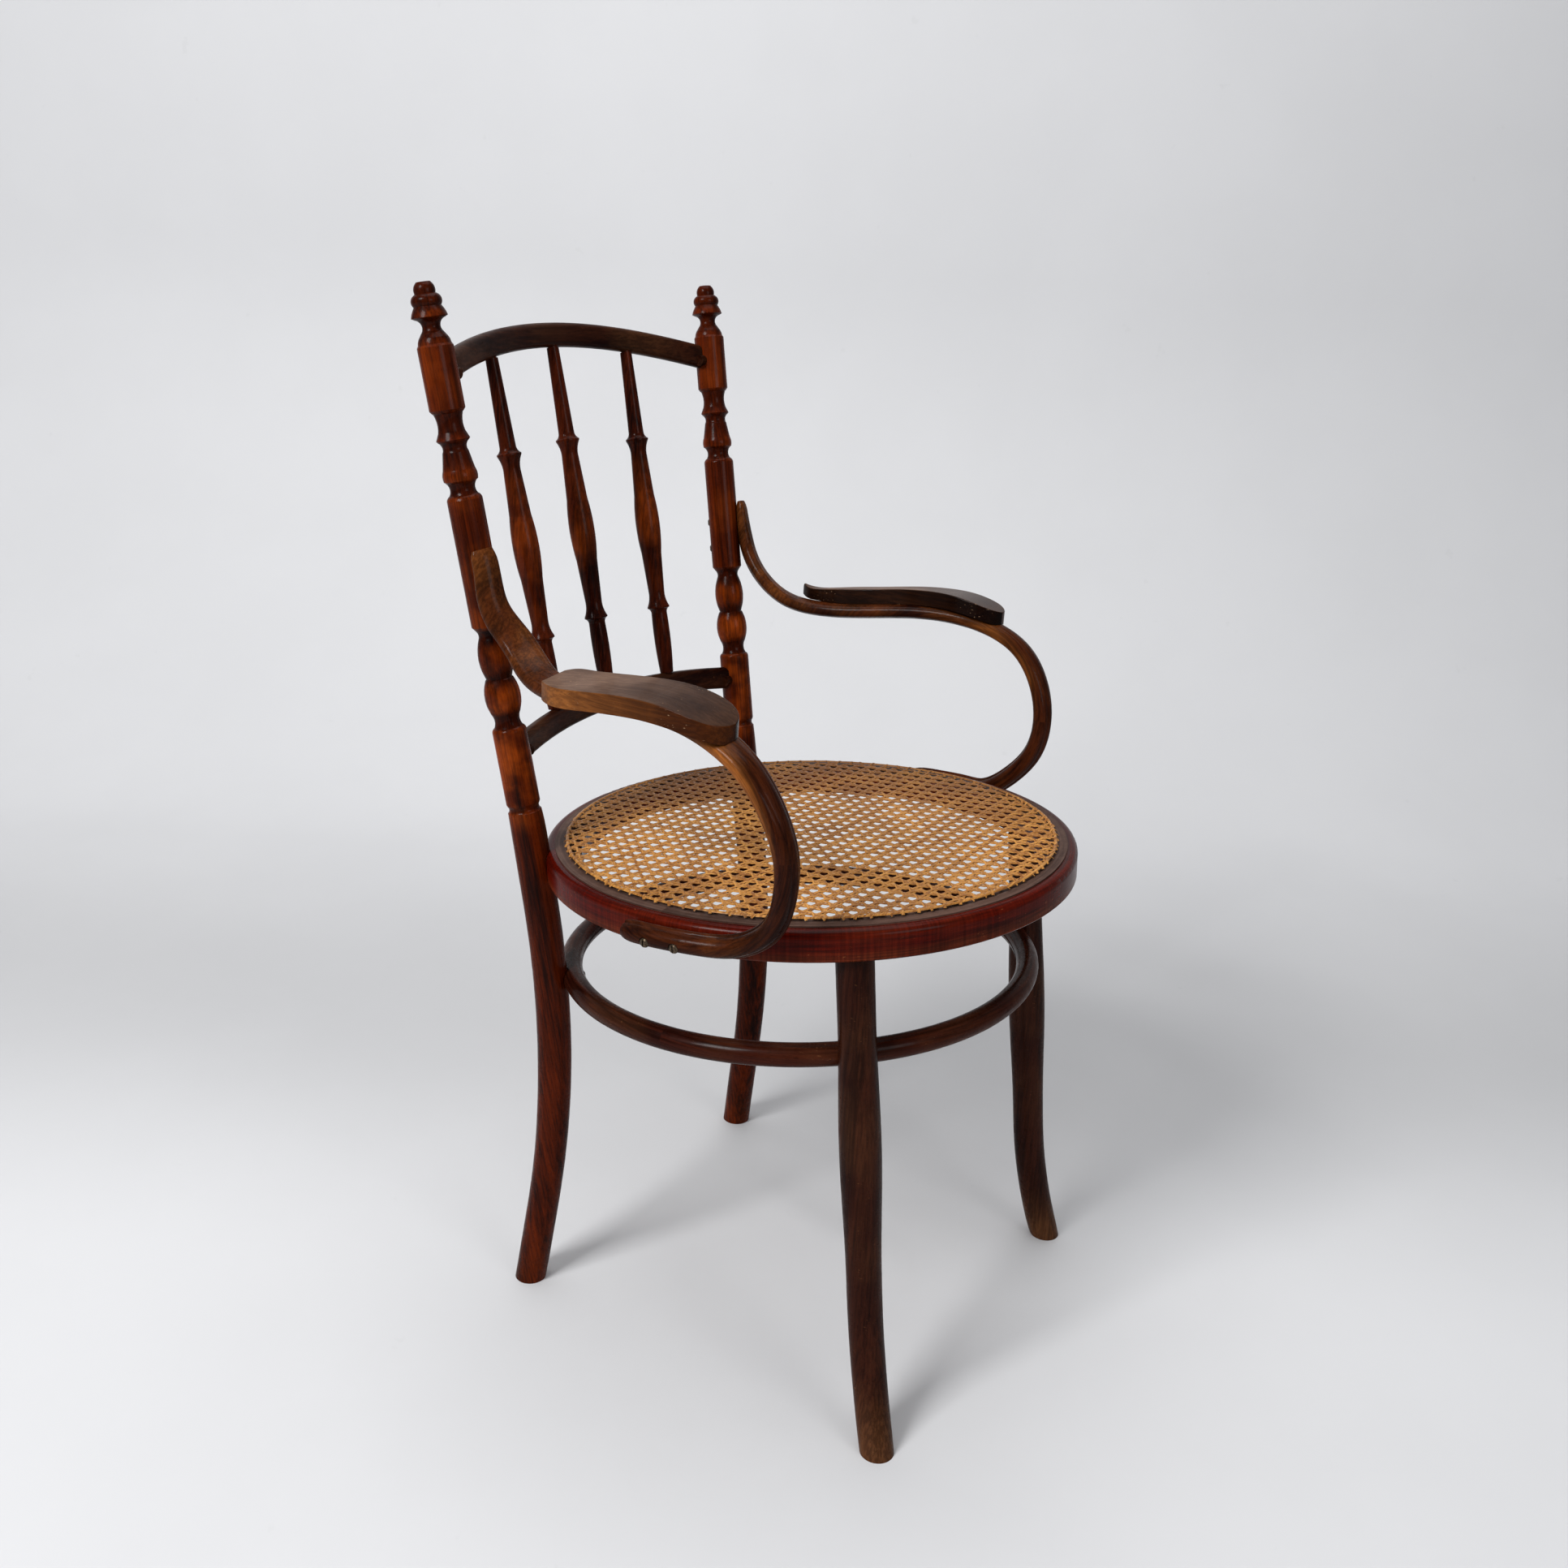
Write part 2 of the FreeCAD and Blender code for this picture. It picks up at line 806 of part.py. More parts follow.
def arm_body(bend, extra=0.0):
    curve = spline(arm_route(bend))
    edge = curve.toShape()
    length = edge.Length
    count = 46
    sections = []
    for index in range(count + 1):
        share = index / count
        parameter = curve.parameterAtDistance(length * share)
        centre = curve.value(parameter)
        tangent = V(*curve.tangent(parameter)[0])
        across, upward = arm_frame(tangent, length * share)
        breadth, thickness = arm_size_at(share, length)
        if index in (0, count):
            breadth -= 5
            thickness -= 4
        sections.append(
            rounded_section(
                centre,
                across,
                upward,
                breadth + 2 * extra,
                thickness + 2 * extra,
                thickness * arm_edge_rounding,
                arm_doming,
            )
        )
    return Part.makeLoft(sections, True, False)


def arm(bend):
    body = arm_body(bend)
    post = placed(
        Part.makeCylinder(post_diameter / 2 + clearance, 260, V(0, 0, 100)),
        post_point(0),
        post_axis(),
    )
    body = body.cut(post).cut(grown_ring())
    for place, direction in post_screw_places():
        body = body.cut(screw_hole(place, direction))
    for place, direction in foot_screw_places():
        body = body.cut(screw_hole(place, direction))
    for place, direction in pad_screw_places(bend):
        body = body.cut(screw_hole(place, direction, pad_screw_length()))
    return body


def arm_near(y, bend):
    # The arm's middle line where it passes a given y under the pad.
    curve = spline(arm_route(bend))
    low = curve.FirstParameter
    high = curve.LastParameter * 0.55
    for _ in range(40):
        middle = (low + high) / 2
        if curve.value(middle).y > y:
            low = middle
        else:
            high = middle
    parameter = (low + high) / 2
    return curve.value(parameter), V(*curve.tangent(parameter)[0])


# Arm pads
def pad_plan(back_y, front_y):
    # The pad seen from above: blunt at the back, waisted inside, round at the front.
    middle_x = mix(pad_inner_x, pad_outer_x, 0.4)
    inner = [
        V(pad_back_x + pad_corner, back_y, 0),
        V(pad_back_x + 1.5, back_y - pad_corner, 0),
        V(mix(pad_back_x, pad_inner_x, 0.3), 82.0, 0),
        V(mix(pad_back_x, pad_inner_x, 0.8), 54.0, 0),
        V(pad_inner_x, 22.0, 0),
        V(pad_inner_x - 2, front_y + 38, 0),
        V(pad_inner_x + 2, front_y + 12, 0),
        V(middle_x, front_y, 0),
    ]
    outer = [
        inner[-1],
        V(pad_outer_x - 15, front_y + 4, 0),
        V(pad_outer_x - 6, front_y + 13, 0),
        V(pad_outer_x - 2, front_y + 27, 0),
        V(pad_outer_x, 12.0, 0),
        V(pad_outer_x - 3, 60.0, 0),
        V(pad_outer_x - 9, 85.0, 0),
        V(pad_outer_x - 22, 107.0, 0),
    ]
    if back_y > 120:
        outer.append(V(pad_outer_x - 42, back_y - 16, 0))
    edges = [spline(inner).toShape(), spline(outer).toShape()]
    edges.append(Part.makeLine(outer[-1], inner[0]))
    return Part.Face(Part.Wire(edges))


def upper_edges(pad):
    # The edges round the pad's top face, which is the highest of its faces.
    top = max(pad.Faces, key=lambda face: face.CenterOfMass.z)
    return [edge for edge in pad.Edges if any(edge.isSame(rim) for rim in top.Edges)]


def arm_pad(back_y, front_y, bend):
    tilt = math.tan(math.radians(pad_tilt))
    reference = (pad_inner_x + pad_outer_x) / 2
    low_line = []
    high_line = []
    steps = 12
    for index in range(steps + 1):
        y = mix(back_y + 6, front_y - 6, index / steps)
        thickness = mix(pad_thickness, pad_front_thickness, smooth((y + 10) / (front_y + 10)))
        thin = smooth((y - pad_thin_from_y) / (pad_thin_to_y - pad_thin_from_y))
        thickness = mix(thickness, pad_back_thickness, thin)
        centre, tangent = arm_near(y, bend)
        up = unit(V(0, -tangent.z, tangent.y))
        if up.z < 0:
            up = up * -1
        start = V(0, centre.y, centre.z + tilt * (centre.x - reference))
        low_line.append(start + up * (arm_thickness / 2 - pad_bite))
        high_line.append(start + up * (arm_thickness / 2 + thickness))
    edges = [spline(low_line).toShape(), spline(high_line).toShape()]
    edges.append(Part.makeLine(low_line[0], high_line[0]))
    edges.append(Part.makeLine(low_line[-1], high_line[-1]))
    side = Part.Face(Part.Wire(Part.__sortEdges__(edges)))
    half = 60.0
    side.translate(V(reference - half, 0, half * tilt))
    slab = side.extrude(V(2 * half, 0, -2 * half * tilt))
    plan = pad_plan(back_y, front_y)
    plan.translate(V(0, 0, seat_height + arm_rest_height - 60))
    pad = slab.common(plan.extrude(V(0, 0, 140)))
    pad = pad.makeFillet(pad_edge_radius, upper_edges(pad))
    pad = pad.cut(arm_body(bend, clearance))
    for place, direction in pad_screw_places(bend):
        pad = pad.cut(screw_hole(place, direction, pad_screw_length()))
    return pad


# Screws: each place is the underside of the head, the direction runs along the shank.
def screw(place, direction, length):
    shank = Part.makeCylinder(screw_diameter / 2, length)
    head_radius = screw_head_diameter / 2
    crown = revolved(
        (head_radius, 0),
        [(head_radius * 0.72, -screw_head_height * 0.8, 0.01, -screw_head_height)],
    )
    slot = Part.makeBox(
        screw_head_diameter + 2,
        slot_width,
        slot_depth + 1,
        V(-head_radius - 1, -slot_width / 2, -screw_head_height - 1),
    )
    return placed(shank.fuse(crown).cut(slot), place, direction)


def screw_hole(place, direction, length=small_screw_length):
    shank = Part.makeCylinder(screw_diameter / 2 + hole_clearance, length + clearance)
    head = Part.makeCylinder(
        screw_head_diameter / 2 + hole_clearance,
        screw_head_height + 14,
        V(0, 0, -screw_head_height - 14),
    )
    return placed(shank.fuse(head), place, direction)


def post_screw_places():
    # Through the post from behind, into the arm's upper end.
    face = math.radians(arm_face_angle)
    away = V(math.sin(face), -math.cos(face), 0)
    away = unit(away - post_axis() * away.dot(post_axis()))
    places = []
    for along in (post_screw_low, post_screw_high):
        places.append((post_point(along) - away * (post_diameter / 2 - 1.2), away))
    return places


def foot_screw_places():
    # Through the arm's foot, level and square to the ring.
    radius = ring_radius + arm_foot_breadth
    places = []
    first = arm_foot_reach - foot_screw_back
    for along in (first, first - foot_screw_gap):
        x = math.sqrt(radius ** 2 - along ** 2)
        place = V(x, along, seat_level(along, arm_foot_drop + foot_screw_drop))
        inward = unit(V(-x, -along, 0))
        places.append((place + inward * 1.6, inward))
    return places


def pad_screw_places(bend):
    # From below, through the arm into the pad, square to the arm's face.
    places = []
    for y in (pad_screw_back_y, pad_screw_front_y):
        centre, tangent = arm_near(y, bend)
        across, upward = arm_frame(tangent, 200.0)
        if upward.z < 0:
            upward = upward * -1
        places.append((centre - upward * (arm_thickness / 2 - screw_head_height - 0.2), upward))
    return places


def pad_screw_length():
    return arm_thickness - screw_head_height + pad_thickness - 5


def hoop_screw_places():
    # From inside the hoop into each leg.
    places = []
    for leg_point in (back_leg_point, front_leg_point):
        guess = leg_point(hoop_height)
        leg = leg_point(hoop_level(guess.y))
        outward = unit(V(leg.x, leg.y - hoop_y, 0))
        ring_point = V(0, hoop_y, 0) + outward * (hoop_radius - hoop_diameter / 2)
        place = V(ring_point.x, ring_point.y, hoop_level(ring_point.y))
        places.append((place + outward * 1.4, outward))
    return places


def ring_screw_place():
    # From inside the seat ring out into the back post.
    level = seat_level(post_y, ring_drop + ring_depth * 0.55)
    leg = back_leg_point(level)
    outward = unit(V(leg.x, leg.y, 0))
    inside = outward * (ring_inner_radius + 2.6)
    return V(inside.x, inside.y, seat_level(inside.y, ring_drop + ring_depth * 0.55)), outward


def pairs(places, length, right_places=None):
    # Screws on both sides; the right side's places are given as if they lay on the left.
    solids = [screw(place, direction, length) for place, direction in places]
    for place, direction in right_places or places:
        solids.append(mirrored(screw(place, direction, length)))
    return Part.makeCompound(solids)


def drill_legs(leg):
    for place, direction in hoop_screw_places():
        leg = leg.cut(screw_hole(place, direction))
    return leg


def build_nodes():
    post = drill_legs(back_post())
    ring_place = [ring_screw_place()]
    return {
        "back_post_left": post,
        "back_post_right": mirrored(post),
        "front_leg_left": front_leg(flare_reach_left),
        "front_leg_right": mirrored(front_leg(flare_reach_right)),
        "leg_hoop": leg_hoop(),
        "seat_ring": seat_ring(),
        "cane_panel": cane_panel(),
        "cane_binder": cane_binder(),
        "crest_rail": crest_rail(),
        "lower_back_rail": lower_back_rail(),
        "spindle_left": spindle(1),
        "spindle_middle": spindle(0),
        "spindle_right": spindle(-1),
        "arm_left": arm(arm_left_bend),
        "arm_right": mirrored(arm(arm_right_bend)),
        "arm_pad_left": arm_pad(pad_left_back_y, pad_left_front_y, arm_left_bend),
        "arm_pad_right": mirrored(arm_pad(pad_right_back_y, pad_right_front_y, arm_right_bend)),
        "arm_post_screws": pairs(post_screw_places(), small_screw_length),
        "arm_foot_screws": pairs(foot_screw_places(), small_screw_length),
        "arm_pad_screws": pairs(
            pad_screw_places(arm_left_bend), pad_screw_length(), pad_screw_places(arm_right_bend)
        ),
        "hoop_screws": pairs(hoop_screw_places(), small_screw_length),
        "seat_to_post_screws": pairs(ring_place, ring_screw_length),
    }


def main():
    os.makedirs("parts", exist_ok=True)
    nodes = build_nodes()
    depths = [point.y for shape in nodes.values() for point in shape.tessellate(0.3)[0]]
    shift = V(0, -(min(depths) + max(depths)) / 2, 0)
    for name, shape in nodes.items():
        moved = shape.copy()
        moved.translate(shift)
        moved.exportStep("parts/" + name + ".step")
        solids = len(moved.Solids)
        print(name, "solids", solids, "valid", moved.isValid(), "volume", round(moved.Volume))
    print("origin moved by", round(shift.y, 3))


main()
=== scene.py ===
import math
import random

import bpy
from mathutils import Matrix, Vector


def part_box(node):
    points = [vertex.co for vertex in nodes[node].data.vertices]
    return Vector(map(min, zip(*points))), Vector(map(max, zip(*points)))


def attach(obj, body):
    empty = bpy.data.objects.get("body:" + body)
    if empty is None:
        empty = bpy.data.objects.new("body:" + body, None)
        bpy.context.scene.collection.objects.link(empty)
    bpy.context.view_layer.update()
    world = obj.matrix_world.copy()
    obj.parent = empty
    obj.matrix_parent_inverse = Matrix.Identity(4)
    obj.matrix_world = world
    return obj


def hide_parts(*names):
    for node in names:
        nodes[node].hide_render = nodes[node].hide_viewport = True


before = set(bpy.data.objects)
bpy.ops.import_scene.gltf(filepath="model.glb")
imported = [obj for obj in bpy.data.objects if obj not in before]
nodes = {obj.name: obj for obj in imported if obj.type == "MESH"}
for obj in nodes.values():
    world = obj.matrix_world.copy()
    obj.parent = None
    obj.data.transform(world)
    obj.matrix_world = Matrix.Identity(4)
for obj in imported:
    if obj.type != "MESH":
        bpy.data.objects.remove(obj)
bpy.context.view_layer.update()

seat = {
    "height": 0.447,      # middle of the seat over the floor
    "slope": 4.0,         # degrees, falling to the back
    "ring": 0.238,        # radius of the ring's outside
    "flat": 0.229,        # where the ring's flat top ends
}
binderLow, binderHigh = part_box("cane_binder")
seat["middleY"] = (binderLow[1] + binderHigh[1]) / 2


def clearSelection():
    if bpy.context.object and bpy.context.object.mode != "OBJECT":
        bpy.ops.object.mode_set(mode="OBJECT")
    bpy.ops.object.select_all(action="DESELECT")


def pick(obj):
    clearSelection()
    obj.select_set(True)
    bpy.context.view_layer.objects.active = obj
    return obj


def toSeatPlane(obj):
    # from the flat drawing plane to the seat's slope, kept in the mesh
    turn = Matrix.Rotation(math.radians(-seat["slope"]), 4, "X")
    place = Matrix.Translation((0.0, seat["middleY"], seat["height"]))
    obj.data.transform(place @ turn)
    obj.data.update()


# camera
photoCamera = {
    "spot": (-1.15627, -0.65681, 0.94438),   # metres from the middle of the seat, on the floor
    "azimuth": -59.26,
    "elevation": 18.93,
    "roll": 3.33,
    "lens": 36.056,
}


def addCamera(values):
    azimuth = math.radians(values["azimuth"])
    elevation = math.radians(values["elevation"])
    roll = math.radians(values["roll"])
    back = Vector((
        math.sin(azimuth) * math.cos(elevation),
        -math.cos(azimuth) * math.cos(elevation),
        math.sin(elevation),
    ))
    level = (-back).cross(Vector((0, 0, 1))).normalized()
    upright = level.cross(-back)
    right = level * math.cos(roll) + upright * math.sin(roll)
    up = upright * math.cos(roll) - level * math.sin(roll)
    spot = Vector(values["spot"]) + Vector((0, seat["middleY"], 0))
    bpy.ops.object.camera_add(location=spot)
    camera = bpy.context.object
    camera.name = "photoCamera"
    camera.rotation_euler = Matrix((right, up, back)).transposed().to_euler()
    camera.data.sensor_width = 36.0
    camera.data.lens = values["lens"]
    camera.data.clip_end = 50.0
    bpy.context.scene.camera = camera


addCamera(photoCamera)
print("camera set")


# shader helpers
def newMaterial(name):
    material = bpy.data.materials.new(name)
    material.use_nodes = True
    tree = material.node_tree
    shader = tree.nodes["Principled BSDF"]
    return material, tree, shader


def link(tree, source, target):
    tree.links.new(source, target)


def mathNode(tree, operation, first, second=None, clamp=False):
    node = tree.nodes.new("ShaderNodeMath")
    node.operation = operation
    node.use_clamp = clamp
    for index, value in enumerate((first, second)):
        if value is None:
            continue
        if isinstance(value, (int, float)):
            node.inputs[index].default_value = value
        else:
            link(tree, value, node.inputs[index])
    return node.outputs[0]


def times(tree, first, second, clamp=False):
    return mathNode(tree, "MULTIPLY", first, second, clamp)


def plus(tree, first, second, clamp=False):
    return mathNode(tree, "ADD", first, second, clamp)


def splitNode(tree, vector):
    node = tree.nodes.new("ShaderNodeSeparateXYZ")
    link(tree, vector, node.inputs[0])
    return node.outputs


def rangeNode(tree, value, low, high, outLow=0.0, outHigh=1.0):
    node = tree.nodes.new("ShaderNodeMapRange")
    node.interpolation_type = "SMOOTHSTEP"
    link(tree, value, node.inputs["Value"])
    node.inputs["From Min"].default_value = low
    node.inputs["From Max"].default_value = high
    node.inputs["To Min"].default_value = outLow
    node.inputs["To Max"].default_value = outHigh
    return node.outputs["Result"]


def mixColor(tree, factor, first, second, blend="MIX"):
    node = tree.nodes.new("ShaderNodeMix")
    node.data_type = "RGBA"
    node.blend_type = blend
    sockets = (node.inputs[0], node.inputs[6], node.inputs[7])
    for socket, value in zip(sockets, (factor, first, second)):
        if isinstance(value, (int, float)):
            socket.default_value = value
        elif isinstance(value, tuple):
            socket.default_value = value if len(value) == 4 else (*value, 1.0)
        else:
            link(tree, value, socket)
    return node.outputs[2]


def noiseNode(tree, vector, scale, detail=3.0, rough=0.55):
    node = tree.nodes.new("ShaderNodeTexNoise")
    node.inputs["Scale"].default_value = scale
    node.inputs["Detail"].default_value = detail
    node.inputs["Roughness"].default_value = rough
    link(tree, vector, node.inputs["Vector"])
    return node.outputs["Fac"]


def mappingNode(tree, vector, location=(0, 0, 0), rotation=(0, 0, 0), scale=(1, 1, 1)):
    node = tree.nodes.new("ShaderNodeMapping")
    node.inputs["Location"].default_value = location
    node.inputs["Rotation"].default_value = rotation
    node.inputs["Scale"].default_value = scale
    link(tree, vector, node.inputs["Vector"])
    return node.outputs["Vector"]


def objectPlace(tree):
    return tree.nodes.new("ShaderNodeTexCoord").outputs["Object"]


def startGroup(name, inputs, outputs):
    group = bpy.data.node_groups.new(name, "ShaderNodeTree")
    for label, kind, value in inputs:
        socket = group.interface.new_socket(label, in_out="INPUT", socket_type=kind)
        if value is not None:
            socket.default_value = value
    for label, kind in outputs:
        group.interface.new_socket(label, in_out="OUTPUT", socket_type=kind)
    return group, group.nodes.new("NodeGroupInput"), group.nodes.new("NodeGroupOutput")


def placeGroup(tree, group, values):
    node = tree.nodes.new("ShaderNodeGroup")
    node.node_tree = group
    for label, value in values.items():
        socket = node.inputs[label]
        if isinstance(value, (int, float)):
            socket.default_value = value
        elif isinstance(value, tuple):
            socket.default_value = value if len(value) == 4 else (*value, 1.0)
        else:
            link(tree, value, socket)
    return node


def makeGrainGroup():
    # stained wood; the grain runs along X of the vector it is given, in metres
    group, entry, leave = startGroup(
        "stainedGrain",
        [
            ("Grain", "NodeSocketVector", None),
            ("Deep", "NodeSocketColor", (0.02, 0.006, 0.004, 1)),
            ("Stain", "NodeSocketColor", (0.06, 0.02, 0.01, 1)),
            ("Bare", "NodeSocketColor", (0.2, 0.08, 0.03, 1)),
            ("Streaks", "NodeSocketFloat", 0.6),
            ("Wear", "NodeSocketFloat", 0.0),
        ],
        [("Color", "NodeSocketColor"), ("Height", "NodeSocketFloat")],
    )
    grain = entry.outputs["Grain"]
    broad = noiseNode(group, mappingNode(group, grain, scale=(3.0, 45.0, 45.0)), 1.0, 3.0, 0.6)
    fine = noiseNode(group, mappingNode(group, grain, scale=(14.0, 420.0, 420.0)), 1.0, 4.0, 0.65)
    dash = noiseNode(group, mappingNode(group, grain, scale=(240.0, 1500.0, 1500.0)), 1.0, 1.0, 0.5)
    streak = plus(group, times(group, broad, 0.55), times(group, fine, 0.45))
    amount = times(group, rangeNode(group, streak, 0.36, 0.66), entry.outputs["Streaks"])
    stained = mixColor(group, amount, entry.outputs["Deep"], entry.outputs["Stain"])
    fleck = rangeNode(group, dash, 0.60, 0.70)
    flecked = mixColor(group, times(group, fleck, 0.55), stained, entry.outputs["Deep"])
    grainLight = rangeNode(group, fine, 0.42, 0.62, 0.55, 1.0)
    wear = times(group, entry.outputs["Wear"], grainLight, True)
    height = mathNode(group, "SUBTRACT", times(group, fine, 0.6), times(group, fleck, 0.5))
    link(group, mixColor(group, wear, flecked, entry.outputs["Bare"]), leave.inputs["Color"])
    link(group, height, leave.inputs["Height"])
    return group


def makeWearGroup():
    # soft handled patches, small scuffs and dust
    group, entry, leave = startGroup(
        "handledWood",
        [("Place", "NodeSocketVector", None), ("Patch Size", "NodeSocketFloat", 18.0)],
        [("Patch", "NodeSocketFloat"), ("Scuff", "NodeSocketFloat"), ("Dust", "NodeSocketFloat")],
    )
    place = entry.outputs["Place"]
    patchNoise = group.nodes.new("ShaderNodeTexNoise")
    patchNoise.inputs["Detail"].default_value = 4.0
    link(group, place, patchNoise.inputs["Vector"])
    link(group, entry.outputs["Patch Size"], patchNoise.inputs["Scale"])
    link(group, rangeNode(group, patchNoise.outputs["Fac"], 0.40, 0.66), leave.inputs["Patch"])
    scratch = noiseNode(group, mappingNode(group, place, scale=(1.0, 1.0, 3.0)), 260.0, 2.0, 0.7)
    scratch = rangeNode(group, scratch, 0.66, 0.72)
    sparse = rangeNode(group, noiseNode(group, place, 22.0, 2.0), 0.52, 0.60)
    link(group, times(group, scratch, sparse), leave.inputs["Scuff"])
    dust = rangeNode(group, noiseNode(group, place, 70.0, 5.0, 0.7), 0.35, 0.75)
    link(group, dust, leave.inputs["Dust"])
    return group


def makePolarGroup():
    # a place along a round rim: run, distance from the middle, height
    group, entry, leave = startGroup(
        "aroundMiddle",
        [("Place", "NodeSocketVector", None), ("Radius", "NodeSocketFloat", 0.2)],
        [("Grain", "NodeSocketVector"), ("Distance", "NodeSocketFloat")],
    )
    place = splitNode(group, entry.outputs["Place"])
    turn = mathNode(group, "ARCTAN2", place["Y"], place["X"])
    squares = plus(group, times(group, place["X"], place["X"]), times(group, place["Y"], place["Y"]))
    distance = mathNode(group, "SQRT", squares)
    join = group.nodes.new("ShaderNodeCombineXYZ")
    link(group, times(group, turn, entry.outputs["Radius"]), join.inputs["X"])
    link(group, distance, join.inputs["Y"])
    link(group, place["Z"], join.inputs["Z"])
    link(group, join.outputs[0], leave.inputs["Grain"])
    link(group, distance, leave.inputs["Distance"])
    return group


grainGroup = makeGrainGroup()
wearGroup = makeWearGroup()
polarGroup = makePolarGroup()

polish = {
    "deep": (0.007, 0.0012, 0.0006),       # nearly black stain
    "stain": (0.090, 0.0110, 0.0012),      # red-brown
    "bare": (0.40, 0.068, 0.005),          # worn through to the wood
    "shine": 0.03,
    "coat": 0.05,
    "coatRoughness": 0.11,
}


def finishWood(tree, shader, colour, height, roughness, bump=0.12):
    link(tree, colour, shader.inputs["Base Color"])
    link(tree, roughness, shader.inputs["Roughness"])
    node = tree.nodes.new("ShaderNodeBump")
    node.inputs["Strength"].default_value = bump
    node.inputs["Distance"].default_value = 0.0004
    link(tree, height, node.inputs["Height"])
    link(tree, node.outputs[0], shader.inputs["Normal"])
    shader.inputs["Coat Weight"].default_value = polish["coat"]
    shader.inputs["Coat Roughness"].default_value = polish["coatRoughness"]
    shader.inputs["Specular IOR Level"].default_value = polish["shine"]


def joinNode(tree, first, second, third):
    join = tree.nodes.new("ShaderNodeCombineXYZ")
    for index, value in enumerate((first, second, third)):
        link(tree, value, join.inputs[index])
    return join.outputs[0]


def mirroredPlace(tree):
    # the same wood on both sides of the chair
    place = splitNode(tree, objectPlace(tree))
    return joinNode(tree, mathNode(tree, "ABSOLUTE", place["X"]), place["Y"], place["Z"])


def grainVector(tree, place, longWay):
    # puts the long way of the grain on X
    spot = splitNode(tree, place)
    order = {"X": "XYZ", "Y": "YXZ", "Z": "ZXY"}[longWay]
    return joinNode(tree, *(spot[axis] for axis in order))


def placeWear(tree, place, patchSize):
    worn = placeGroup(tree, wearGroup, {"Place": place, "Patch Size": patchSize})
    return worn.outputs["Patch"], worn.outputs["Scuff"], worn.outputs["Dust"]


def placeAround(tree, place, radius):
    around = placeGroup(tree, polarGroup, {"Place": place, "Radius": radius})
    return around.outputs["Grain"], around.outputs["Distance"]


def placeGrain(tree, grain, values, wear):
    node = placeGroup(tree, grainGroup, {
        "Grain": grain,
        "Deep": values.get("deep", polish["deep"]),
        "Stain": values.get("stain", polish["stain"]),
        "Bare": values.get("bare", polish["bare"]),
        "Streaks": values["streaks"],
        "Wear": wear,
    })
    return node.outputs["Color"], node.outputs["Height"]


# wood of the back posts: bright on the full rounds, dark in the necks
backPost = {
    "foot": (0.1687, 0.1862, 0.447),   # a point of the axis, seat-centred, at the seat's height
    "splay": 3.55,
    "recline": 10.83,
    "fullRadius": 0.0147,
    "neckRadius": 0.0112,
    "neckShade": 0.55,
    "patchSize": 26.0,
    "bright": (0.10, 0.22),            # heights over the seat between which the wear fades
    "wear": (0.55, 0.16),              # near the seat, and above
    "footWear": 0.07,
    "streaks": 0.95,
    "roughness": (0.22, 0.42),
}


def makePostWood(values):
    material, tree, shader = newMaterial("turnedPostWood")
    place = mirroredPlace(tree)
    axis = Vector((
        math.tan(math.radians(values["splay"])),
        math.tan(math.radians(values["recline"])),
        1.0,
    )).normalized()
    turn = axis.rotation_difference(Vector((0, 0, 1))).to_matrix()
    foot = Vector(values["foot"]) + Vector((0, seat["middleY"], 0))
    alongAxis = mappingNode(tree, place, tuple(-(turn @ foot)), tuple(turn.to_euler()))
    distance = placeAround(tree, alongAxis, values["fullRadius"])[1]
    patch, scuff, dust = placeWear(tree, place, values["patchSize"])
    full = rangeNode(tree, distance, values["neckRadius"], values["fullRadius"])
    height = splitNode(tree, alongAxis)["Z"]
    above = rangeNode(tree, height, 0.0, 0.03)
    wear = times(tree, times(tree, full, above), patch)
    wear = times(tree, wear, rangeNode(tree, height, *values["bright"], *values["wear"]))
    feet = rangeNode(tree, height, -0.36, -0.44, 0.0, values["footWear"])
    wear = plus(tree, wear, feet, True)
    colour, relief = placeGrain(tree, grainVector(tree, alongAxis, "Z"), values, wear)
    shade = mathNode(tree, "MAXIMUM", full, mathNode(tree, "SUBTRACT", 1.0, above))
    shade = rangeNode(tree, shade, 0.0, 1.0, values["neckShade"], 1.0)
    colour = mixColor(tree, 1.0, colour, shade, "MULTIPLY")
    finishWood(tree, shader, colour, relief, rangeNode(tree, dust, 0.0, 1.0, *values["roughness"]))
    return material


# front legs: dull brown, worn at the foot
frontLeg = {
    "stain": (0.040, 0.0095, 0.0040),
    "bare": (0.17, 0.070, 0.027),
    "streaks": 0.8,
    "patchSize": 16.0,
    "patchWear": 0.10,
    "scuffWear": 0.6,
    "footHeight": 0.07,
    "footWear": 0.42,
    "roughness": (0.26, 0.45),
}


def makeLegWood(values):
    material, tree, shader = newMaterial("frontLegWood")
    place = mirroredPlace(tree)
    patch, scuff, dust = placeWear(tree, place, values["patchSize"])
    height = splitNode(tree, place)["Z"]
    foot = rangeNode(tree, height, values["footHeight"], 0.0, 0.0, values["footWear"])
    wear = plus(tree, times(tree, patch, values["patchWear"]), foot)
    wear = plus(tree, wear, times(tree, scuff, values["scuffWear"]), True)
    colour, relief = placeGrain(tree, grainVector(tree, place, "Z"), values, wear)
    finishWood(tree, shader, colour, relief, rangeNode(tree, dust, 0.0, 1.0, *values["roughness"]))
    return material


# spindles: a little worn on their bellies
spindle = {
    "stain": (0.080, 0.0115, 0.0024),
    "streaks": 0.9,
    "patchSize": 20.0,
    "bellyHeight": 0.68,
    "bellyFade": (0.075, 0.03),   # distances up or down from the belly, none and full
    "bellyWear": 0.30,
    "roughness": (0.22, 0.38),
}


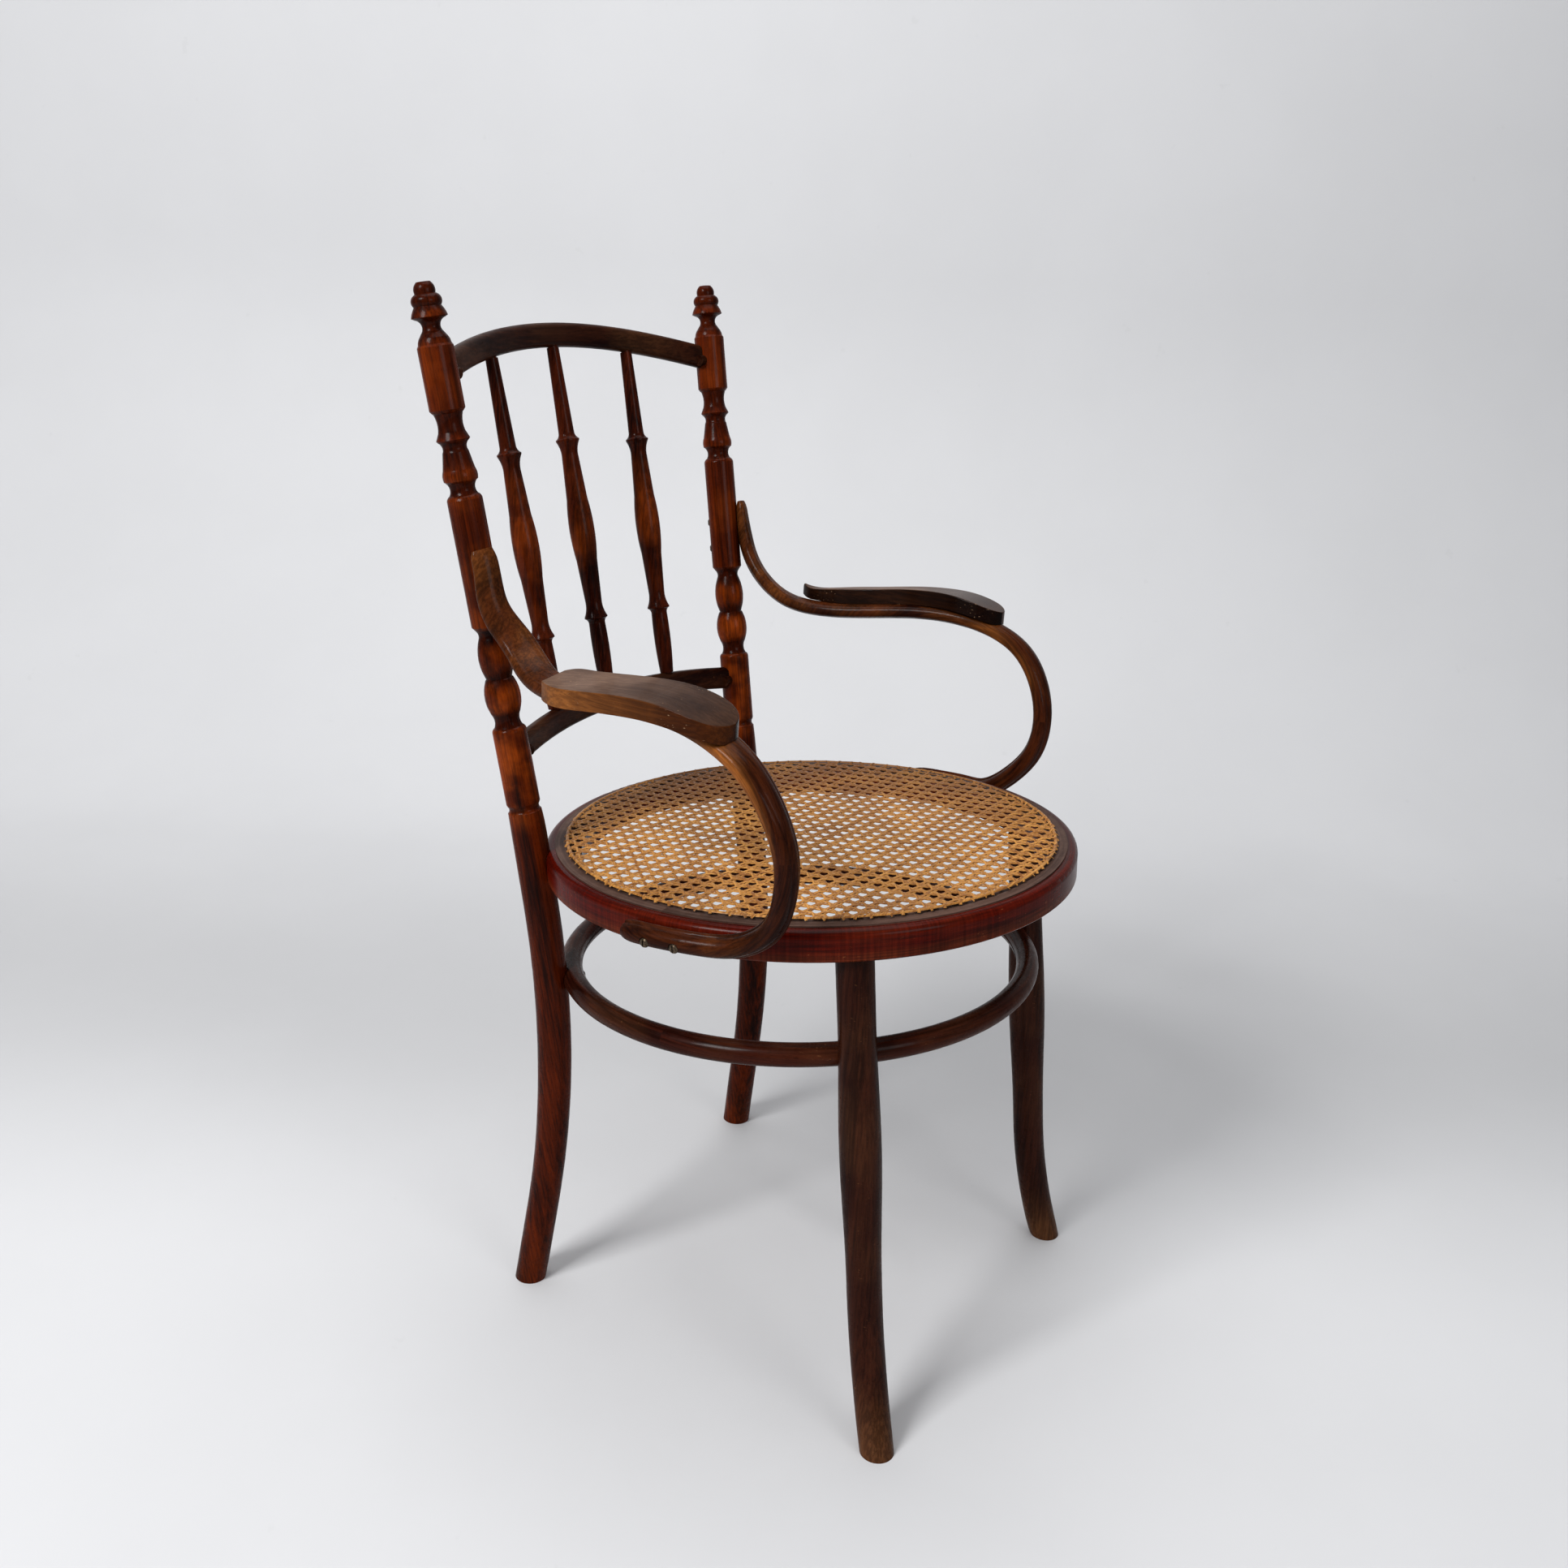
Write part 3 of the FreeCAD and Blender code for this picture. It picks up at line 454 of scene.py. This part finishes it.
def makeSpindleWood(values):
    material, tree, shader = newMaterial("spindleWood")
    place = mirroredPlace(tree)
    patch, scuff, dust = placeWear(tree, place, values["patchSize"])
    height = splitNode(tree, place)["Z"]
    away = mathNode(tree, "ABSOLUTE", mathNode(tree, "SUBTRACT", height, values["bellyHeight"]))
    belly = rangeNode(tree, away, *values["bellyFade"])
    wear = times(tree, times(tree, patch, belly), values["bellyWear"])
    colour, relief = placeGrain(tree, grainVector(tree, place, "Z"), values, wear)
    finishWood(tree, shader, colour, relief, rangeNode(tree, dust, 0.0, 1.0, *values["roughness"]))
    return material


# the two rails and the leg hoop: plain stained wood with scuffs
backRail = {
    "stain": (0.040, 0.0105, 0.0040),
    "bare": (0.16, 0.070, 0.028),
    "streaks": 0.8,
    "patchSize": 14.0,
    "patchWear": 0.16,
    "scuffWear": 0.4,
    "roughness": (0.30, 0.5),
}
legHoop = {
    "stain": (0.044, 0.0080, 0.0036),
    "bare": (0.17, 0.066, 0.026),
    "streaks": 0.85,
    "patchSize": 15.0,
    "patchWear": 0.12,
    "scuffWear": 0.5,
    "roughness": (0.24, 0.42),
    "middle": (0.004, 0.3235),    # seat-centred y, and height
    "radius": 0.21,
}


def finishPlainWood(tree, shader, place, grain, values):
    patch, scuff, dust = placeWear(tree, place, values["patchSize"])
    wear = times(tree, patch, values["patchWear"])
    wear = plus(tree, wear, times(tree, scuff, values["scuffWear"]), True)
    colour, relief = placeGrain(tree, grain, values, wear)
    finishWood(tree, shader, colour, relief, rangeNode(tree, dust, 0.0, 1.0, *values["roughness"]))


def makeRailWood(values):
    material, tree, shader = newMaterial("backRailWood")
    place = objectPlace(tree)
    finishPlainWood(tree, shader, place, grainVector(tree, place, "X"), values)
    return material


def makeHoopWood(values):
    material, tree, shader = newMaterial("legHoopWood")
    place = objectPlace(tree)
    middleY, height = values["middle"]
    level = mappingNode(tree, place, (0, -(seat["middleY"] + middleY), -height))
    grain = placeAround(tree, level, values["radius"])[0]
    finishPlainWood(tree, shader, place, grain, values)
    return material


# the bent arms: a golden painted highlight on the inside of the loop, and golden wear on worn edges
armLoop = {
    "middle": (-0.022, 0.521),     # the loop's middle seen from the side: seat-centred y, and z
    "radius": 0.093,
    "insideFade": (0.002, -0.008), # past the radius, none and full
    "farHighlightShare": 0.25,               # share of the painted highlight on the left arm
    "backWear": 0.10,
    "patchWear": 0.08,
    "stain": (0.058, 0.0125, 0.0034),
    "bare": (0.46, 0.150, 0.030),
    "streaks": 0.9,
    "patchSize": 17.0,
    "roughness": (0.24, 0.44),
}


def makeArmWood(values):
    material, tree, shader = newMaterial("bentArmWood")
    place = mirroredPlace(tree)
    spot = splitNode(tree, place)
    middleY, middleZ = values["middle"]
    alongY = mathNode(tree, "SUBTRACT", spot["Y"], middleY + seat["middleY"])
    alongZ = mathNode(tree, "SUBTRACT", spot["Z"], middleZ)
    fromSide = joinNode(tree, alongY, alongZ, spot["X"])
    grain, distance = placeAround(tree, fromSide, values["radius"])
    patch, scuff, dust = placeWear(tree, place, values["patchSize"])
    # painted highlight: the inside of the loop, at the front and high up, is lightened towards the
    # bare colour, fully on the right arm and only a share of it on the left
    inside = rangeNode(tree, distance, *(values["radius"] + fade for fade in values["insideFade"]))
    front = rangeNode(tree, spot["Y"], -0.06, -0.10)
    high = rangeNode(tree, spot["Z"], 0.47, 0.54)
    paintedHighlight = times(tree, times(tree, inside, front), high)
    across = splitNode(tree, objectPlace(tree))["X"]
    paintedHighlight = times(tree, paintedHighlight, rangeNode(tree, across, 0.1, -0.1, values["farHighlightShare"], 1.0))
    backEnd = rangeNode(tree, spot["Y"], 0.06, 0.12)
    # wear here carries the painted highlight along with the worn back end and the patches
    wear = plus(tree, paintedHighlight, times(tree, backEnd, values["backWear"]))
    wear = times(tree, wear, rangeNode(tree, patch, 0.0, 1.0, 0.45, 1.0))
    wear = plus(tree, wear, times(tree, patch, values["patchWear"]), True)
    colour, relief = placeGrain(tree, grain, values, wear)
    finishWood(tree, shader, colour, relief, rangeNode(tree, dust, 0.0, 1.0, *values["roughness"]))
    return material


# the arm pads: a greyer painted sheen on top with rubbed patches, golden outside, dark inside and at
# the front
armPad = {
    "side": {
        "deep": (0.014, 0.004, 0.0015),
        "stain": (0.062, 0.019, 0.006),
        "bare": (0.23, 0.078, 0.017),
        "streaks": 1.0,
    },
    # painted sheen: greyer, lighter colours for the upward faces
    "top": {
        "deep": (0.055, 0.028, 0.018),
        "stain": (0.125, 0.072, 0.048),
        "bare": (0.21, 0.13, 0.09),
        "streaks": 1.0,
    },
    "patchSize": 24.0,
    "topWear": 0.4,
    "sideWear": (0.5, 0.95),
    "frontDark": (0.03, -0.085),      # y where the dark front starts and is full, metres
    "frontShade": (0.30, 0.22, 0.17),
    "innerShade": 0.42,
    "scuff": (0.30, 0.18, 0.10),
    "scuffAmount": 0.7,
    "roughness": (0.45, 0.24),        # at the back, and on the dark front
    "bump": 0.2,
}


def makePadWood(values):
    material, tree, shader = newMaterial("armPadWood")
    coords = tree.nodes.new("ShaderNodeTexCoord")
    place = mirroredPlace(tree)
    patch, scuff, dust = placeWear(tree, place, values["patchSize"])
    facing = splitNode(tree, coords.outputs["Normal"])
    spot = splitNode(tree, coords.outputs["Object"])
    upward = rangeNode(tree, facing["Z"], 0.55, 0.92)
    outward = times(tree, facing["X"], mathNode(tree, "SIGN", spot["X"]))
    outer = rangeNode(tree, outward, -0.3, 0.3)
    front = rangeNode(tree, spot["Y"], *values["frontDark"])
    sideWear = times(tree, rangeNode(tree, patch, 0.0, 1.0, *values["sideWear"]), outer)
    side, relief = placeGrain(tree, grainVector(tree, place, "Y"), values["side"], sideWear)
    topWear = times(tree, patch, values["topWear"])
    top = placeGrain(tree, grainVector(tree, place, "Y"), values["top"], topWear)[0]
    inner = rangeNode(tree, outer, 0.0, 1.0, values["innerShade"], 1.0)
    side = mixColor(tree, 1.0, side, inner, "MULTIPLY")
    # painted sheen: upward faces take the greyer top colours
    colour = mixColor(tree, upward, side, top)
    darkened = mixColor(tree, 1.0, colour, values["frontShade"], "MULTIPLY")
    colour = mixColor(tree, front, colour, darkened)
    colour = mixColor(tree, times(tree, scuff, values["scuffAmount"]), colour, values["scuff"])
    rough = rangeNode(tree, front, 0.0, 1.0, *values["roughness"])
    finishWood(tree, shader, colour, relief, rough, values["bump"])
    return material


# the seat ring: dull flat top, greyer from a painted sheen, glossy red side with upright streaks
ringWood = {
    "side": {
        "deep": (0.022, 0.0014, 0.0006),
        "stain": (0.104, 0.0045, 0.0008),
        "bare": (0.24, 0.075, 0.026),
        "streaks": 0.85,
    },
    # painted sheen: greyer, lighter colours for the flat top
    "top": {
        "deep": (0.030, 0.015, 0.011),
        "stain": (0.100, 0.056, 0.042),
        "bare": (0.17, 0.105, 0.080),
        "streaks": 0.9,
    },
    "patchSize": 15.0,
    "lowEdge": (-0.017, -0.026),      # under the seat's plane, where the low edge is worn
    "lowWear": 0.16,
    "scuffWear": 0.8,
    "patchWear": 0.06,
    "topWear": 0.25,
    "roughness": (0.24, 0.5),         # side, top
}


def makeRingWood(values):
    material, tree, shader = newMaterial("seatRingWood")
    place = objectPlace(tree)
    slope = math.radians(seat["slope"])
    middle = Vector((0, seat["middleY"], seat["height"]))
    spot = -(Matrix.Rotation(slope, 3, "X") @ middle)
    level = mappingNode(tree, place, tuple(spot), (slope, 0, 0))
    grain, distance = placeAround(tree, level, seat["ring"])
    patch, scuff, dust = placeWear(tree, place, values["patchSize"])
    height = splitNode(tree, level)["Z"]
    within = rangeNode(tree, distance, seat["flat"] + 0.0006, seat["flat"] - 0.0002)
    flat = times(tree, within, rangeNode(tree, height, -0.012, -0.004))
    low = rangeNode(tree, height, *values["lowEdge"])
    wear = plus(tree, times(tree, low, values["lowWear"]), times(tree, scuff, values["scuffWear"]))
    wear = plus(tree, wear, times(tree, patch, values["patchWear"]), True)
    side, relief = placeGrain(tree, grain, values["side"], wear)
    upright = noiseNode(tree, mappingNode(tree, grain, scale=(420.0, 30.0, 14.0)), 1.0, 3.0)
    upright = rangeNode(tree, upright, 0.3, 0.7, 0.65, 1.15)
    side = mixColor(tree, 1.0, side, upright, "MULTIPLY")
    top = placeGrain(tree, grain, values["top"], times(tree, dust, values["topWear"]))[0]
    # painted sheen: the flat top takes the greyer top colours
    colour = mixColor(tree, flat, side, top)
    rough = rangeNode(tree, flat, 0.0, 1.0, *values["roughness"])
    finishWood(tree, shader, colour, relief, rough)
    return material


screwHead = {
    "dark": (0.022, 0.014, 0.010),
    "light": (0.12, 0.085, 0.052),
    "metallic": 0.85,
    "spotSize": 900.0,
}


def makeScrewMetal(values):
    material, tree, shader = newMaterial("tarnishedScrew")
    spots = noiseNode(tree, objectPlace(tree), values["spotSize"], 4.0, 0.7)
    tarnish = rangeNode(tree, spots, 0.38, 0.62)
    link(tree, mixColor(tree, tarnish, values["dark"], values["light"]), shader.inputs["Base Color"])
    link(tree, rangeNode(tree, spots, 0.3, 0.7, 0.6, 0.3), shader.inputs["Roughness"])
    shader.inputs["Metallic"].default_value = values["metallic"]
    return material


def dress(names, material):
    for name in names:
        slots = nodes[name].data.materials
        if not slots:
            slots.append(material)
        for index in range(len(slots)):
            slots[index] = material


dress(("back_post_left", "back_post_right"), makePostWood(backPost))
dress(("front_leg_left", "front_leg_right"), makeLegWood(frontLeg))
dress(("spindle_left", "spindle_middle", "spindle_right"), makeSpindleWood(spindle))
dress(("crest_rail", "lower_back_rail"), makeRailWood(backRail))
dress(("arm_left", "arm_right"), makeArmWood(armLoop))
dress(("arm_pad_left", "arm_pad_right"), makePadWood(armPad))
dress(("seat_ring",), makeRingWood(ringWood))
dress(("leg_hoop",), makeHoopWood(legHoop))
dress((
    "arm_post_screws",
    "arm_foot_screws",
    "arm_pad_screws",
    "hoop_screws",
    "seat_to_post_screws",
), makeScrewMetal(screwHead))
print("wood and screws dressed")


# the woven cane
weave = {
    "pitch": 0.0127,         # one hole to the next
    "pairHalf": 0.00138,     # each strand's distance from its pair's middle
    "strandWidth": 0.0024,
    "diagonalWidth": 0.0024,
    "thickness": 0.00055,
    "lift": 0.00042,         # how far the upright and level strands wave
    "diagonalLift": 0.00078,
    "reach": 0.2166,
    "steps": 6,              # points per hole
    "crossing": 0.0028,      # reach of one strand's rise over another
    "edgeFade": 0.006,       # where the strands dip to the rim
    "edgeDrop": 0.0006,
    "shortest": 0.004,
    "wander": 0.00022,
    "wanderTurns": 22.0,
    "seed": 41,
}


def strandProfile(name, width, thickness):
    # the section of split cane: flat below, domed above
    curve = bpy.data.curves.new(name, "CURVE")
    curve.dimensions = "2D"
    spline = curve.splines.new("POLY")
    section = [(-0.5, -0.35), (0.5, -0.35), (0.32, 0.45), (0.0, 0.65), (-0.32, 0.45)]
    spline.points.add(len(section) - 1)
    for point, (across, high) in zip(spline.points, section):
        point.co = (across * width, high * thickness, 0.0, 1.0)
    spline.use_cyclic_u = True
    profile = bpy.data.objects.new(name, curve)
    bpy.context.collection.objects.link(profile)
    return profile


def strandPiece(name, runs, profile, closed=False):
    # one mesh of many strands, each swept with the flat side down
    curve = bpy.data.curves.new(name, "CURVE")
    curve.dimensions = "3D"
    curve.twist_mode = "Z_UP"
    curve.bevel_mode = "OBJECT"
    curve.bevel_object = profile
    curve.use_fill_caps = not closed
    for run in runs:
        spline = curve.splines.new("POLY")
        spline.points.add(len(run) - 1)
        for point, place in zip(spline.points, run):
            point.co = (*place, 1.0)
        spline.use_cyclic_u = closed
    piece = bpy.data.objects.new(name, curve)
    bpy.context.collection.objects.link(piece)
    pick(piece)
    bpy.ops.object.convert(target="MESH")
    piece = bpy.context.object
    bpy.ops.object.mode_set(mode="EDIT")
    bpy.ops.mesh.select_all(action="SELECT")
    bpy.ops.mesh.remove_doubles(threshold=0.000001)
    bpy.ops.mesh.normals_make_consistent(inside=False)
    bpy.ops.object.mode_set(mode="OBJECT")
    bpy.ops.object.shade_smooth_by_angle(angle=math.radians(50))
    toSeatPlane(piece)
    return piece


def strandRuns(values, heading, offsets, wave, chance):
    # straight strands through the seat in one heading, woven by the given wave
    along = Vector((math.cos(heading), math.sin(heading), 0))
    across = Vector((-along.y, along.x, 0))
    runs = []
    for offset in offsets:
        if abs(offset) >= values["reach"] - values["shortest"]:
            continue
        half = math.sqrt(values["reach"] ** 2 - offset ** 2)
        step = values["pitch"] / values["steps"]
        count = max(4, int(2 * half / step))
        drift = chance.uniform(-1, 1) * values["wander"]
        phase = chance.uniform(0, 6.28)
        run = []
        for index in range(count + 1):
            distance = -half + 2 * half * index / count
            bend = drift * math.sin(distance * values["wanderTurns"] + phase)
            spot = along * distance + across * (offset + bend)
            edge = min(1.0, (half - abs(distance)) / values["edgeFade"])
            high = wave(spot, offset) * edge - values["edgeDrop"] * (1 - edge)
            run.append((spot.x, spot.y, high))
        runs.append(run)
    return runs


def pairOffsets(values):
    count = int(values["reach"] / values["pitch"]) + 1
    offsets = []
    for index in range(-count, count + 1):
        offsets.append(index * values["pitch"] - values["pairHalf"])
        offsets.append(index * values["pitch"] + values["pairHalf"])
    return offsets


def diagonalOffsets(values):
    gap = values["pitch"] / math.sqrt(2)
    count = int(values["reach"] / gap) + 1
    return [(index + 0.5) * gap for index in range(-count, count + 1)]


def weaveCane(values):
    chance = random.Random(values["seed"])
    pitch = values["pitch"]
    turn = 2 * math.pi / pitch

    def pairWave(along, offset):
        # over one strand of each crossing pair and under the other
        side = 1 if offset - round(offset / pitch) * pitch > 0 else -1
        place = along - round(along / pitch) * pitch
        near = max(0.0, 1 - abs(abs(place) - values["pairHalf"]) / values["crossing"])
        return side * (1 if place > 0 else -1) * near * values["lift"]

    def slantWave(spot):
        return values["diagonalLift"] * math.cos(spot.x * turn)

    flat = strandProfile("strandSection", values["strandWidth"], values["thickness"])
    slim = strandProfile("diagonalSection", values["diagonalWidth"], values["thickness"])
    pairs = pairOffsets(values)
    slants = diagonalOffsets(values)
    plan = (
        ("cane_uprights", math.pi / 2, pairs, flat, lambda spot, offset: pairWave(spot.y, offset)),
        ("cane_levels", 0.0, pairs, flat, lambda spot, offset: pairWave(spot.x, offset)),
        ("cane_rising", math.pi / 4, slants, slim, lambda spot, offset: slantWave(spot)),
        ("cane_falling", -math.pi / 4, slants, slim, lambda spot, offset: -slantWave(spot)),
    )
    pieces = []
    for name, heading, offsets, profile, wave in plan:
        runs = strandRuns(values, heading, offsets, wave, chance)
        pieces.append((strandPiece(name, runs, profile), heading))
    bpy.data.objects.remove(flat)
    bpy.data.objects.remove(slim)
    return pieces


# the binder strand and the loops that hold it down
binder = {
    "radius": 0.2183,
    "width": 0.0030,
    "thickness": 0.0013,
    "level": 0.0009,
    "holes": 108,
    "wander": 0.00035,
    "loopWidth": 0.0026,
    "loopThickness": 0.0006,
    "loopHalf": 0.003224,        # half a loop's length across the strand
    "loopInset": 0.0008,
    "loopRise": 0.0009,
    "loopDip": 0.0022,
    "loopBow": 2.4,
    "loopLean": (0.3, 1.3),      # slant of a loop's ends, in units of leanReach
    "leanReach": 0.003,
    "seed": 7,
}


def layBinder(values):
    chance = random.Random(values["seed"])
    section = strandProfile("binderSection", values["width"], values["thickness"])
    run = []
    for index in range(values["holes"]):
        angle = 2 * math.pi * index / values["holes"]
        radius = values["radius"] + chance.uniform(-values["wander"], values["wander"])
        high = values["level"] + chance.uniform(-0.0001, 0.0002)
        run.append((radius * math.cos(angle), radius * math.sin(angle), high))
    strand = strandPiece("binder_strand", [run], section, True)
    loops = []
    for index in range(values["holes"]):
        angle = 2 * math.pi * (index + chance.uniform(-0.18, 0.18)) / values["holes"]
        lean = chance.choice((-1, 1)) * chance.uniform(*values["loopLean"])
        out = Vector((math.cos(angle), math.sin(angle), 0))
        aside = Vector((-out.y, out.x, 0))
        loop = []
        for share in (-1.0, -0.72, -0.35, 0.0, 0.35, 0.72, 1.0):
            radius = values["radius"] - values["loopInset"] + share * values["loopHalf"]
            spot = out * radius + aside * (lean * share * values["leanReach"])
            dip = values["loopDip"] * abs(share) ** values["loopBow"]
            high = values["level"] + values["loopRise"] - dip
            loop.append((spot.x, spot.y, high))
        loops.append(loop)
    slim = strandProfile("loopSection", values["loopWidth"], values["loopThickness"])
    ties = strandPiece("binder_loops", loops, slim)
    bpy.data.objects.remove(slim)
    bpy.data.objects.remove(section)
    return strand, ties


caneSkin = {
    "dark": (0.205, 0.072, 0.013),
    "light": (0.50, 0.232, 0.052),
    # colour of the stain patches and of the painted shade
    "stainAndPaintedShade": (0.155, 0.062, 0.020),
    "knot": (0.10, 0.040, 0.014),
    "patchAmount": 0.4,
    # how strongly the painted shade darkens the cane at the back-left
    "farPaintedShadeAmount": 0.6,
    "knotAmount": 0.6,
    "roughness": 0.36,
    "shine": 0.12,
}


def makeCane(name, longWay, values):
    material, tree, shader = newMaterial(name)
    place = objectPlace(tree)
    turned = mappingNode(tree, place, (0, -seat["middleY"], 0), (0, 0, -longWay))
    tone = noiseNode(tree, mappingNode(tree, turned, scale=(5.0, 520.0, 1.0)), 1.0, 2.0, 0.6)
    tone = rangeNode(tree, tone, 0.32, 0.68)
    patch = rangeNode(tree, noiseNode(tree, place, 11.0, 3.0), 0.38, 0.64)
    fibre = noiseNode(tree, mappingNode(tree, turned, scale=(60.0, 4200.0, 900.0)), 1.0, 2.0)
    knot = rangeNode(tree, noiseNode(tree, place, 140.0, 2.0), 0.60, 0.72)
    # painted shade: the cane darkens towards the back-left of the seat
    spot = splitNode(tree, place)
    away = plus(tree, spot["X"], times(tree, spot["Y"], 0.6))
    stainAndPaintedShade = rangeNode(tree, away, -0.02, 0.17, 0.0, values["farPaintedShadeAmount"])
    # the stain patches and the painted shade together
    stained = plus(tree, times(tree, patch, values["patchAmount"]), stainAndPaintedShade, True)
    colour = mixColor(tree, tone, values["dark"], values["light"])
    colour = mixColor(tree, stained, colour, values["stainAndPaintedShade"])
    colour = mixColor(tree, times(tree, knot, values["knotAmount"]), colour, values["knot"])
    streak = rangeNode(tree, fibre, 0.3, 0.7, 0.8, 1.1)
    link(tree, mixColor(tree, 1.0, colour, streak, "MULTIPLY"), shader.inputs["Base Color"])
    shader.inputs["Roughness"].default_value = values["roughness"]
    shader.inputs["Specular IOR Level"].default_value = values["shine"]
    bump = tree.nodes.new("ShaderNodeBump")
    bump.inputs["Strength"].default_value = 0.25
    bump.inputs["Distance"].default_value = 0.0001
    link(tree, fibre, bump.inputs["Height"])
    link(tree, bump.outputs[0], shader.inputs["Normal"])
    return material


def coat(piece, skin):
    piece.data.materials.clear()
    piece.data.materials.append(skin)


for piece, heading in weaveCane(weave):
    coat(piece, makeCane(piece.name + "_skin", heading, caneSkin))
    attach(piece, "root")
    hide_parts("cane_panel")
print("cane woven")

binderSkin = makeCane("binder_skin", 0.0, caneSkin)
for piece in layBinder(binder):
    coat(piece, binderSkin)
    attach(piece, "root")
    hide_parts("cane_binder")
print("binder laid")


# floor, backdrop and light
studio = {
    "floorSize": 5.0,
    "wallAway": 1.9,       # behind the middle of the chair
    "wallHeight": 3.2,
    "bend": 0.9,
    "widen": 1.8,
    "colour": (0.59, 0.592, 0.602),
    "mottle": 0.975,
    "foldAway": 0.45,      # where the floor looks darkest
    "foldNear": 0.55,      # how far the dark band reaches to the front, and to the back
    "foldFar": 0.75,
    "foldShade": 0.77,
    "floorShade": 0.99,
    "heading": (0.859, 0.511),   # away from the camera
}


def addStudio(values):
    bpy.ops.mesh.primitive_plane_add(size=values["floorSize"])
    backdrop = bpy.context.object
    backdrop.name = "studioFloor"
    half = values["floorSize"] / 2
    bpy.ops.object.mode_set(mode="EDIT")
    bpy.ops.mesh.select_all(action="DESELECT")
    bpy.ops.object.mode_set(mode="OBJECT")
    for vertex in backdrop.data.vertices:
        if vertex.co.y > 0:
            vertex.co.y = values["wallAway"]
        vertex.co.x *= values["widen"]
    for edge in backdrop.data.edges:
        ends = [backdrop.data.vertices[index].co.y for index in edge.vertices]
        edge.select = min(ends) > 0
    bpy.ops.object.mode_set(mode="EDIT")
    bpy.ops.mesh.select_mode(type="EDGE")
    upward = {"value": (0, 0, values["wallHeight"])}
    bpy.ops.mesh.extrude_region_move(TRANSFORM_OT_translate=upward)
    bpy.ops.object.mode_set(mode="OBJECT")
    for edge in backdrop.data.edges:
        ends = [backdrop.data.vertices[index].co for index in edge.vertices]
        atBack = min(end.y for end in ends) > half * 0.5
        edge.select = atBack and max(end.z for end in ends) < 0.01
    bpy.ops.object.mode_set(mode="EDIT")
    bpy.ops.mesh.bevel(offset=values["bend"], segments=24, affect="EDGES")
    bpy.ops.object.mode_set(mode="OBJECT")
    bpy.ops.object.shade_smooth()
    backdrop.data.transform(Matrix.Rotation(math.radians(photoCamera["azimuth"]), 4, "Z"))
    material, tree, shader = newMaterial("studioGrey")
    place = objectPlace(tree)
    mottle = noiseNode(tree, place, 3.0, 4.0)
    spots = noiseNode(tree, place, 26.0, 3.0, 0.6)
    duller = tuple(channel * values["mottle"] for channel in values["colour"])
    base = mixColor(tree, rangeNode(tree, mottle, 0.3, 0.7), values["colour"], duller)
    base = mixColor(tree, rangeNode(tree, spots, 0.70, 0.76, 0.0, 0.10), base, (0.4, 0.4, 0.4))
    spot = splitNode(tree, place)
    headX, headY = values["heading"]
    away = plus(tree, times(tree, spot["X"], headX), times(tree, spot["Y"], headY))
    fold, dark = values["foldAway"], values["foldShade"]
    near = rangeNode(tree, away, fold - values["foldNear"], fold, values["floorShade"], dark)
    far = rangeNode(tree, away, fold, fold + values["foldFar"], 1.0, 1.0 / dark)
    base = mixColor(tree, 1.0, base, times(tree, near, far), "MULTIPLY")
    link(tree, base, shader.inputs["Base Color"])
    shader.inputs["Roughness"].default_value = 0.6
    shader.inputs["Specular IOR Level"].default_value = 0.25
    backdrop.data.materials.append(material)


lamps = {
    # place, what it faces, side in metres, watts
    "keyWindow": ((-3.4, 0.7, 3.2), (0.0, 0.0, 0.4), 1.4, 190.0),
    "overhead": ((0.2, 0.3, 3.0), (0.0, 0.0, 0.3), 2.2, 44.0),
    "frontFill": ((-0.9, -2.7, 1.7), (0.0, 0.0, 0.5), 1.2, 18.0),
}
air = {"colour": (0.93, 0.95, 1.0, 1.0), "strength": 0.26}


def addLamp(name, spot, aim, size, power):
    bpy.ops.object.light_add(type="AREA", location=spot)
    lamp = bpy.context.object
    lamp.name = name
    lamp.data.shape = "RECTANGLE"
    lamp.data.size = size
    lamp.data.size_y = size
    lamp.data.energy = power
    lamp.rotation_euler = (Vector(aim) - Vector(spot)).to_track_quat("-Z", "Y").to_euler()


addStudio(studio)
for name, values in lamps.items():
    addLamp(name, *values)

world = bpy.context.scene.world or bpy.data.worlds.new("studioAir")
bpy.context.scene.world = world
world.use_nodes = True
sky = world.node_tree.nodes.get("Background")
sky.inputs["Color"].default_value = air["colour"]
sky.inputs["Strength"].default_value = air["strength"]
bpy.context.scene.view_settings.view_transform = "Standard"
print("studio lit")
